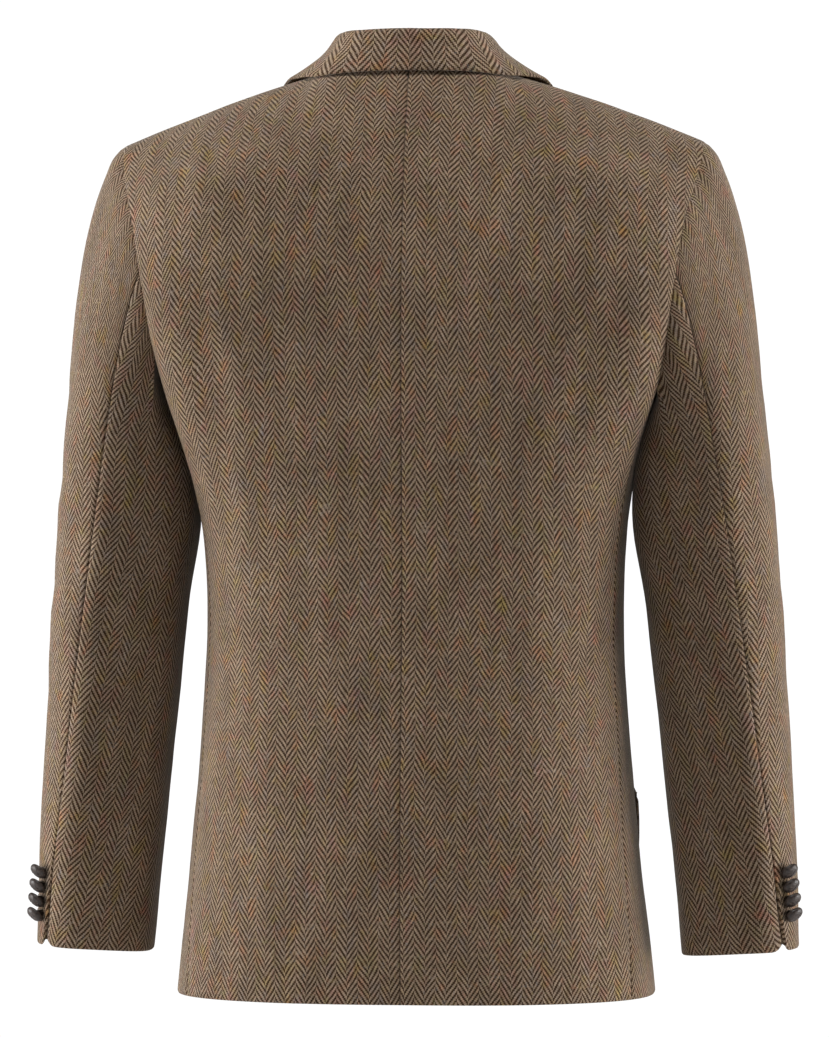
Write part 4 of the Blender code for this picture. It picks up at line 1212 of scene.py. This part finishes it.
def plait(across, along):
    """Height of the plaited leather at a place on the dome: four quarters of crossing straps."""
    run = across if (across > 0) == (along > 0) else along
    rib = abs(math.sin(math.pi * run / RIB_PITCH))
    groove = 1 - math.exp(-(min(abs(across), abs(along)) / GROOVE) ** 2)
    return (0.35 + 0.65 * rib ** 0.6) * (0.35 + 0.65 * groove)


def button(name, seat, out, side_way, size, leather, thread, tilt=0.0, stem=FRONT_STEM):
    """A plaited leather dome on a wound thread shank, leaning by tilt about side_way."""
    radius, thickness = size
    level = np.cross(side_way, out)
    axis = unit(math.cos(tilt) * out - math.sin(tilt) * level)
    base = seat + (SHANK_CLEAR + stem + radius * math.sin(abs(tilt)) * 0.72) * out
    across = unit(side_way - side_way.dot(axis) * axis)
    other = np.cross(axis, across)
    # share of the radius and of the thickness, from the shank out and up to the crown
    profile = [(SHANK_RADIUS / radius, 0.02, 0), *[(r, h, 0) for r, h in DOME], (0.0, 1.0, 0)]
    vertices = []
    for share, height, _ in smooth_rows(np.array([profile], float), DOME_RINGS)[0]:
        for turn in circle(DOME_SIDES):
            a, b = share * math.cos(turn), share * math.sin(turn)
            relief = RIB_DEPTH * smooth(height, 0.2, 0.6) * (plait(a, b) - 0.8)
            vertices.append(base + radius * (a * across + b * other)
                            + (height * thickness + relief) * axis)
    dome = mesh_object(f"{name}_dome", vertices, ring_faces(DOME_RINGS, DOME_SIDES))
    model = bmesh.new()
    model.from_mesh(dome.data)
    bmesh.ops.remove_doubles(model, verts=model.verts, dist=0.00002)
    bmesh.ops.recalc_face_normals(model, faces=model.faces)
    model.to_mesh(dome.data)
    model.free()
    dome.data.materials.append(leather)
    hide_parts(name)
    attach(dome, "root")
    shank(f"{name}_shank", seat, base - seat, across, thread)


def shank(name, seat, reach, across, thread):
    """Thread wound round the stitches that hold a button."""
    way = unit(reach)
    side = unit(np.cross(way, across))
    other = np.cross(way, side)
    vertices = []
    for along in np.linspace(0, 1, SHANK_RINGS):
        wound = 0.16 * abs(math.sin(math.pi * along * SHANK_TURNS))
        radius = SHANK_RADIUS * (0.78 + wound + 0.5 * (1 - along) ** 6)
        for turn in circle(SHANK_SIDES):
            vertices.append(seat + along * reach + radius * (math.cos(turn) * side + math.sin(turn) * other))
    obj = mesh_object(name, vertices, ring_faces(SHANK_RINGS, SHANK_SIDES))
    obj.data.materials.append(thread)
    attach(obj, "root")


def cuff_buttons():
    """Each cuff button's side and number, its height, and what turns the left one into it."""
    for number, height in enumerate(CUFF_BUTTON_HEIGHTS, 1):
        yield f"left_{number}", "left", height, np.array([1, 1, 1])
        yield f"right_{number}", "right", height + RIGHT_CUFF_RISE, FLIP


def build_buttons(leather, thread):
    place = front_place(1)
    for number, z in enumerate(FRONT_BUTTON_HEIGHTS, 1):
        share = 1 - OVERLAP / front_run(z)[1][-1]
        button(f"front_button_{number}", place(z, share), normal(place, z, share), np.array([1.0, 0, 0]),
               FRONT_BUTTON_SIZE, leather, thread)
    for word, _, z, flip in cuff_buttons():
        seat, out, side_way = cuff_seat(z)
        button(f"cuff_button_{word}", seat * flip, out * flip, side_way * flip * flip[0],
               CUFF_BUTTON_SIZE, leather, thread, CUFF_BUTTON_TILT, CUFF_STEM)


# ---------------------------------------------------------------- buttonholes

HOLE_HALF_WIDTH = 0.95
HOLE_THREAD = 0.7          # radius of the whipped thread round the slit
HOLE_STITCH = 1.05         # one stitch takes this much of the way round
HOLE_SIDES = 7
HOLE_RINGS = 3             # to a millimetre
FRONT_HOLE = (-3.0, 20.0)  # x of its ends; the button sits at its outer end
LAPEL_HOLE = ((121, -108), (102, -97.5))  # x and z of its ends
CUFF_HOLE = (-1.5, 13.0)   # from the button, away from the vent
HOLE_FROM = 25.0           # the thread is laid on from this far outside


def cloth_tree(name):
    mesh = bpy.data.objects[name].data
    return BVHTree.FromPolygons([vertex.co / MM for vertex in mesh.vertices],
                                [tuple(face.vertices) for face in mesh.polygons])


def buttonhole(name, cloth, start, end, inward, thread):
    """Whipped thread round a slit, laid on the cloth as it is met looking inward."""
    start, end, inward = (np.array(v, float) for v in (start, end, inward))
    way = unit(end - start)
    across = unit(np.cross(way, inward))
    half = np.linalg.norm(end - start) / 2 - HOLE_HALF_WIDTH
    turns = np.linspace(0, 2 * math.pi, 121)[:, None]
    outline = (start + end) / 2 + half * np.sign(np.cos(turns)) * way
    outline = outline + HOLE_HALF_WIDTH * (np.cos(turns) * way + np.sin(turns) * across)
    length = runs(outline)[-1]
    count = int(length * HOLE_RINGS)
    tree = cloth_tree(cloth)
    path, outs = [], []
    for point in even(outline, np.arange(count) / count):
        hit, out, _, _ = tree.ray_cast(Vector(point - HOLE_FROM * inward), Vector(inward))
        path.append(np.array(hit))
        outs.append(unit(np.array(out) if out.dot(Vector(inward)) < 0 else -np.array(out)))
    path = np.array(path)
    tangents = np.roll(path, -1, axis=0) - np.roll(path, 1, axis=0)
    vertices = []
    for k, (point, out) in enumerate(zip(path, outs)):
        side = unit(np.cross(tangents[k], out))
        swell = abs(math.sin(math.pi * k / count * round(length / HOLE_STITCH)))
        radius = HOLE_THREAD * (0.78 + 0.3 * swell)
        for turn in circle(HOLE_SIDES):
            offset = math.cos(turn) * side + (0.25 + 0.8 * math.sin(turn)) * out
            vertices.append(point + radius * offset)
    obj = mesh_object(name, vertices, ring_faces(count, HOLE_SIDES, loop=True))
    obj.data.materials.append(thread)
    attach(obj, "root")


def build_buttonholes(thread):
    before, inward = -150, (0, 1, 0)
    for number, z in enumerate(FRONT_BUTTON_HEIGHTS, 1):
        ends = [(x, before, z) for x in FRONT_HOLE]
        buttonhole(f"front_buttonhole_{number}", "front_left_cloth", *ends, inward, thread)
    ends = [(x, before, z) for x, z in LAPEL_HOLE]
    buttonhole("lapel_buttonhole", "lapel_left_cloth", *ends, inward, thread)
    for word, side, z, flip in cuff_buttons():
        seat, out, _ = cuff_seat(z)
        angle = read(SLEEVE, z)[4] + CUFF_BUTTON_TURN
        around = unit(arm_point(z, angle + 1) - arm_point(z, angle - 1))
        ends = [(seat + reach * around + 5 * out) * flip for reach in CUFF_HOLE]
        buttonhole(f"cuff_buttonhole_{word}", f"top_sleeve_{side}_cloth", *ends, -out * flip, thread)


# ---------------------------------------------------------------- materials

ENDS = 9                   # warp yarns in one column of the herringbone
END_PITCH = 0.92 * MM
PICK_PITCH = 1.39 * MM
TWILL = 4                  # picks in one repeat of the twill
LIGHT_YARN = (0.285, 0.209, 0.147)
DARK_YARN = (0.047, 0.025, 0.0125)
WARP_CELL, WEFT_CELL = 0.011, 0.013   # a dyed stretch of one yarn, in metres
CELL_SHIFT = 0.02          # how far such stretches are shifted from yarn to yarn
FLECK_CELL = (0.0037, 0.009)
FLECKED = 0.10             # share of the stretches that are dyed
# yarn dyes that show as flecks: position on the ramp and colour
FLECKS = ((0.00, (0.36, 0.17, 0.095)), (0.20, (0.38, 0.28, 0.12)), (0.42, (0.20, 0.20, 0.09)),
          (0.60, (0.17, 0.19, 0.21)), (0.76, (0.25, 0.09, 0.08)), (0.90, (0.50, 0.43, 0.35)))
# patches where the carded wool is dyed: what they multiply the cloth's colour by, and how much
TINTS = (((1.22, 0.88, 0.74), 0.75), ((1.06, 1.01, 0.64), 0.8), ((0.90, 0.98, 1.18), 0.7),
         ((1.10, 0.84, 0.92), 0.7), ((0.94, 1.0, 0.72), 0.7))
TINT_LOW, TINT_HIGH = 0.54, 0.74


class Nodes:
    """A short way to write a material's nodes."""

    def __init__(self, name):
        self.material = bpy.data.materials.new(name)
        self.material.use_nodes = True
        self.tree = self.material.node_tree
        self.shader = self.tree.nodes["Principled BSDF"]

    def add(self, kind, **settings):
        node = self.tree.nodes.new(kind)
        for key, value in settings.items():
            setattr(node, key, value)
        return node

    def put(self, socket, value):
        if isinstance(value, bpy.types.NodeSocket):
            self.tree.links.new(value, socket)
        else:
            socket.default_value = value

    def math(self, operation, first, second=0.0, third=None):
        node = self.add("ShaderNodeMath", operation=operation)
        self.put(node.inputs[0], first)
        self.put(node.inputs[1], second)
        if third is not None:
            self.put(node.inputs[2], third)
        return node.outputs[0]

    def vector(self, x, y, z=0.0):
        node = self.add("ShaderNodeCombineXYZ")
        for socket, value in zip(node.inputs, (x, y, z)):
            self.put(socket, value)
        return node.outputs[0]

    def plus(self, first, *others):
        for other in others:
            first = self.math("ADD", first, other)
        return first

    def times(self, first, second):
        return self.math("MULTIPLY", first, second)

    def whole(self, value, size=1.0):
        """How many whole sizes go into a value."""
        return self.math("FLOOR", self.math("DIVIDE", value, size))

    def arch(self, value):
        """0 at the whole values and 1 halfway between two."""
        return self.math("SINE", self.times(self.math("FRACT", value), math.pi))

    def noise(self, place, scale, detail=2.0, rough=0.5):
        node = self.add("ShaderNodeTexNoise")
        self.put(node.inputs["Vector"], place)
        self.put(node.inputs["Scale"], scale)
        self.put(node.inputs["Detail"], detail)
        self.put(node.inputs["Roughness"], rough)
        return node.outputs["Fac"]

    def waver(self, place, scale, reach, detail=2.0):
        """A value that wanders between reach and -reach."""
        return self.math("MULTIPLY_ADD", self.noise(place, scale, detail), 2 * reach, -reach)

    def chance(self, place):
        node = self.add("ShaderNodeTexWhiteNoise", noise_dimensions="3D")
        self.put(node.inputs["Vector"], place)
        return node.outputs["Value"]

    def span(self, value, low, high, to_low=0.0, to_high=1.0):
        node = self.add("ShaderNodeMapRange", interpolation_type="SMOOTHSTEP")
        for socket, number in zip(node.inputs[:5], (value, low, high, to_low, to_high)):
            self.put(socket, number)
        return node.outputs[0]

    def mix(self, share, first, second, blend="MIX"):
        node = self.add("ShaderNodeMix", data_type="RGBA", blend_type=blend)
        self.put(node.inputs["Factor"], share)
        for socket, value in zip((node.inputs[6], node.inputs[7]), (first, second)):
            self.put(socket, (*value, 1.0) if isinstance(value, tuple) and len(value) == 3 else value)
        return node.outputs[2]

    def shaded(self, colour, amount):
        """The colour multiplied by one varying amount."""
        return self.mix(1.0, colour, self.vector(amount, amount, amount), "MULTIPLY")

    def ramp(self, share, stops):
        node = self.add("ShaderNodeValToRGB")
        node.color_ramp.interpolation = "CONSTANT"
        elements = node.color_ramp.elements
        while len(elements) < len(stops):
            elements.new(0.5)
        for element, (position, colour) in zip(elements, stops):
            element.position = position
            element.color = (*colour, 1.0)
        self.put(node.inputs["Fac"], share)
        return node.outputs["Color"]

    def relief(self, height, strength, distance):
        bump = self.add("ShaderNodeBump")
        for name, value in (("Strength", strength), ("Distance", distance), ("Height", height)):
            self.put(bump.inputs[name], value)
        self.put(self.shader.inputs["Normal"], bump.outputs[0])

    def finish(self, colour, **numbers):
        """The shader's colour, and its numbers by name, with _ for a space."""
        self.put(self.shader.inputs["Base Color"], colour)
        for name, value in numbers.items():
            self.put(self.shader.inputs[name.replace("_", " ")], value)
        return self.material


def tweed_material():
    n = Nodes("herringbone_tweed")
    place = n.add("ShaderNodeUVMap", uv_map="grain").outputs[0]
    split = n.add("ShaderNodeSeparateXYZ")
    n.put(split.inputs[0], place)
    across, along = split.outputs[0], split.outputs[1]
    # the yarns wander a little, and their edges are fuzzy
    u = n.plus(across, n.waver(place, 26.0, 0.0024), n.waver(place, 900.0, 0.00035, 1.0))
    v = n.plus(along, n.waver(n.vector(along, across, 0.7), 30.0, 0.0028),
               n.waver(n.vector(along, across, 3.1), 900.0, 0.0004, 1.0))
    end_place, pick_place = n.math("DIVIDE", u, END_PITCH), n.math("DIVIDE", v, PICK_PITCH)
    end, pick = n.math("FLOOR", end_place), n.math("FLOOR", pick_place)
    column = n.whole(n.plus(end, 0.5), ENDS)
    step = n.math("SUBTRACT", end, n.times(column, ENDS))
    # in every second column the twill climbs the other way, and starts half a repeat later
    turned = n.math("FLOORED_MODULO", column, 2.0)
    back = n.times(turned, n.math("MULTIPLY_ADD", step, 2.0, -2.0))
    shift = n.math("SUBTRACT", step, back)
    phase = n.math("FRACT", n.math("DIVIDE", n.plus(pick, shift, 0.5), TWILL))
    warp_up = n.math("LESS_THAN", phase, 0.5)

    # each yarn's own shade, and dyed flecks along it
    def stretch(yarn, run, length):
        return n.whole(n.plus(run, n.times(n.chance(yarn), CELL_SHIFT)), length)

    warp_luck = n.chance(n.vector(end, stretch(n.vector(end, 0.5), v, WARP_CELL), 1.0))
    weft_luck = n.chance(n.vector(stretch(n.vector(0.5, pick), u, WEFT_CELL), pick, 2.0))
    warp_noise = n.noise(n.vector(n.times(end, 0.37), n.times(v, 160.0)), 1.0)
    weft_noise = n.noise(n.vector(n.times(u, 150.0), n.times(pick, 0.41), 5.0), 1.0)
    light = n.shaded(LIGHT_YARN, n.span(warp_noise, 0.25, 0.75, 0.80, 1.22))
    dark = n.shaded(DARK_YARN, n.span(weft_noise, 0.25, 0.75, 0.72, 1.35))
    fleck = n.ramp(n.chance(n.vector(n.whole(u, FLECK_CELL[0]), n.whole(v, FLECK_CELL[1]), 9.0)), FLECKS)
    light = n.mix(n.times(n.math("LESS_THAN", warp_luck, FLECKED), 0.24), light, fleck)
    dark = n.mix(n.times(n.math("LESS_THAN", weft_luck, FLECKED), 0.16), dark, fleck)
    cloth = n.mix(warp_up, dark, light)
    for number, (tint, amount) in enumerate(TINTS):
        where = n.vector(n.math("MULTIPLY_ADD", across, 1.7, number * 1.3), along, number * 2.1)
        share = n.span(n.noise(where, 52.0, 2.0, 0.55), TINT_LOW, TINT_HIGH, 0.0, amount)
        cloth = n.mix(share, cloth, n.mix(1.0, cloth, tint, "MULTIPLY"))
    streak = n.vector(n.times(across, 3.2), along, 2.0)
    cloth = n.shaded(cloth, n.span(n.noise(streak, 17.0, 4.0, 0.6), 0.2, 0.8, 0.82, 1.18))
    # round yarns, dipping where they pass under each other, and a fine nap
    float_warp = n.arch(n.times(phase, 2.0))
    height = n.add("ShaderNodeMix", data_type="FLOAT")
    n.put(height.inputs[0], warp_up)
    n.put(height.inputs[2], n.math("MULTIPLY_ADD", n.arch(pick_place), 0.5, -0.28))
    n.put(height.inputs[3], n.math("MULTIPLY_ADD", n.arch(end_place), 0.6, n.times(float_warp, 0.25)))
    nap = n.noise(place, 2600.0, 3.0, 0.7)
    n.relief(n.math("MULTIPLY_ADD", nap, 0.55, height.outputs[0]), 0.55, 0.0004)
    return n.finish(cloth, Roughness=0.94, Specular_IOR_Level=0.12, Sheen_Weight=0.34,
                    Sheen_Roughness=0.34, Sheen_Tint=(0.92, 0.84, 0.74, 1.0))


def leather_material():
    n = Nodes("button_leather")
    coords = n.add("ShaderNodeTexCoord").outputs["Object"]
    shade = n.span(n.noise(coords, 420.0, 3.0), 0.3, 0.7, 0.0, 1.0)
    pores = n.add("ShaderNodeTexVoronoi")
    n.put(pores.inputs["Vector"], coords)
    n.put(pores.inputs["Scale"], 2400.0)
    n.relief(pores.outputs["Distance"], 0.35, 0.0002)
    return n.finish(n.mix(shade, (0.020, 0.014, 0.012), (0.052, 0.036, 0.029)),
                    Roughness=n.span(shade, 0.0, 1.0, 0.36, 0.56), Specular_IOR_Level=0.5)


def thread_material(name, colour):
    n = Nodes(name)
    coords = n.add("ShaderNodeTexCoord").outputs["Object"]
    shade = n.span(n.noise(coords, 900.0, 2.0), 0.3, 0.7, 0.7, 1.2)
    return n.finish(n.shaded(colour, shade), Roughness=0.6, Sheen_Weight=0.2)


def stage_material(name, colour):
    n = Nodes(name)
    coords = n.add("ShaderNodeTexCoord").outputs["Object"]
    tone = n.span(n.noise(coords, 0.8, 2.0), 0.2, 0.8, 0.985, 1.0)
    return n.finish(n.shaded(colour, tone), Roughness=0.9)


# ---------------------------------------------------------------- studio and camera

IMAGE_WIDTH, IMAGE_HEIGHT = 829, 1037
CAMERA_TURN = math.radians(185.5)
CAMERA_REACH = 4.2
CAMERA_HEIGHT = -0.360
METRES_A_PIXEL = 0.797e-3  # at the jacket's upright axis
AXIS_COLUMN = 416.3        # the axis stands at this pixel column
FLOOR = -0.95
FLOOR_REACH = 1.7          # a round floor, white beyond it
FLOOR_SIDES = 96
SENSOR = 24.0
SOFT_LIGHT, WHITE = 0.045, 1.05   # strength of the studio's own light, and of what the camera sees


def build_camera():
    data = bpy.data.cameras.new("camera")
    camera = bpy.data.objects.new("camera", data)
    bpy.context.scene.collection.objects.link(camera)
    bpy.context.scene.camera = camera
    camera.location = (math.sin(CAMERA_TURN) * CAMERA_REACH, -math.cos(CAMERA_TURN) * CAMERA_REACH,
                       CAMERA_HEIGHT)
    look = Vector((0, 0, CAMERA_HEIGHT)) - camera.location
    camera.rotation_euler = look.to_track_quat("-Z", "Y").to_euler()
    data.sensor_fit = "VERTICAL"
    data.sensor_height = SENSOR
    data.lens = SENSOR * CAMERA_REACH / (IMAGE_HEIGHT * METRES_A_PIXEL)
    data.shift_x = -(AXIS_COLUMN - IMAGE_WIDTH / 2) / IMAGE_HEIGHT


def area_light(name, location, target, size, power):
    data = bpy.data.lights.new(name, "AREA")
    data.shape = "RECTANGLE"
    data.size, data.size_y = size
    data.energy = power
    light = bpy.data.objects.new(name, data)
    bpy.context.scene.collection.objects.link(light)
    light.location = location
    look = Vector(target) - Vector(location)
    light.rotation_euler = look.to_track_quat("-Z", "Y").to_euler()


def build_studio():
    mesh = bpy.data.meshes.new("floor")
    rim = [(FLOOR_REACH * math.cos(turn), FLOOR_REACH * math.sin(turn), FLOOR)
           for turn in circle(FLOOR_SIDES)]
    mesh.from_pydata(rim, [], [tuple(range(FLOOR_SIDES))])
    floor = bpy.data.objects.new("floor", mesh)
    bpy.context.scene.collection.objects.link(floor)
    mesh.materials.append(stage_material("floor_paint", (0.93, 0.93, 0.93)))
    world = bpy.data.worlds.new("studio")
    bpy.context.scene.world = world
    bpy.context.scene.view_settings.view_transform = "Standard"
    world.use_nodes = True
    nodes, links = world.node_tree.nodes, world.node_tree.links
    choose = nodes.new("ShaderNodeMixShader")
    links.new(nodes.new("ShaderNodeLightPath").outputs["Is Camera Ray"], choose.inputs[0])
    for slot, node, strength in ((1, nodes["Background"], SOFT_LIGHT),
                                 (2, nodes.new("ShaderNodeBackground"), WHITE)):
        node.inputs["Color"].default_value = (1.0, 1.0, 1.0, 1.0)
        node.inputs["Strength"].default_value = strength
        links.new(node.outputs[0], choose.inputs[slot])
    links.new(choose.outputs[0], nodes["World Output"].inputs["Surface"])
    area_light("side_left", (2.6, 0.42, -0.45), (0, 0.02, -0.45), (1.4, 1.7), 94)
    area_light("side_right", (-2.6, 0.06, -0.5), (0, 0.02, -0.5), (1.2, 1.5), 80)
    area_light("top", (0.1, 0.8, 1.6), (0, 0, -0.15), (1.0, 0.8), 32)


def main():
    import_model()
    build_camera()
    build_studio()
    tweed = tweed_material()
    leather = leather_material()
    thread = thread_material("button_thread", (0.055, 0.036, 0.025))
    build_back(tweed)
    build_sides(tweed)
    build_fronts(tweed)
    build_sleeves(tweed)
    build_lapels(tweed)
    build_collar(tweed)
    build_pockets(tweed)
    build_buttons(leather, thread)
    build_buttonholes(thread_material("buttonhole_thread", (0.125, 0.088, 0.056)))
    bpy.context.view_layer.update()


main()
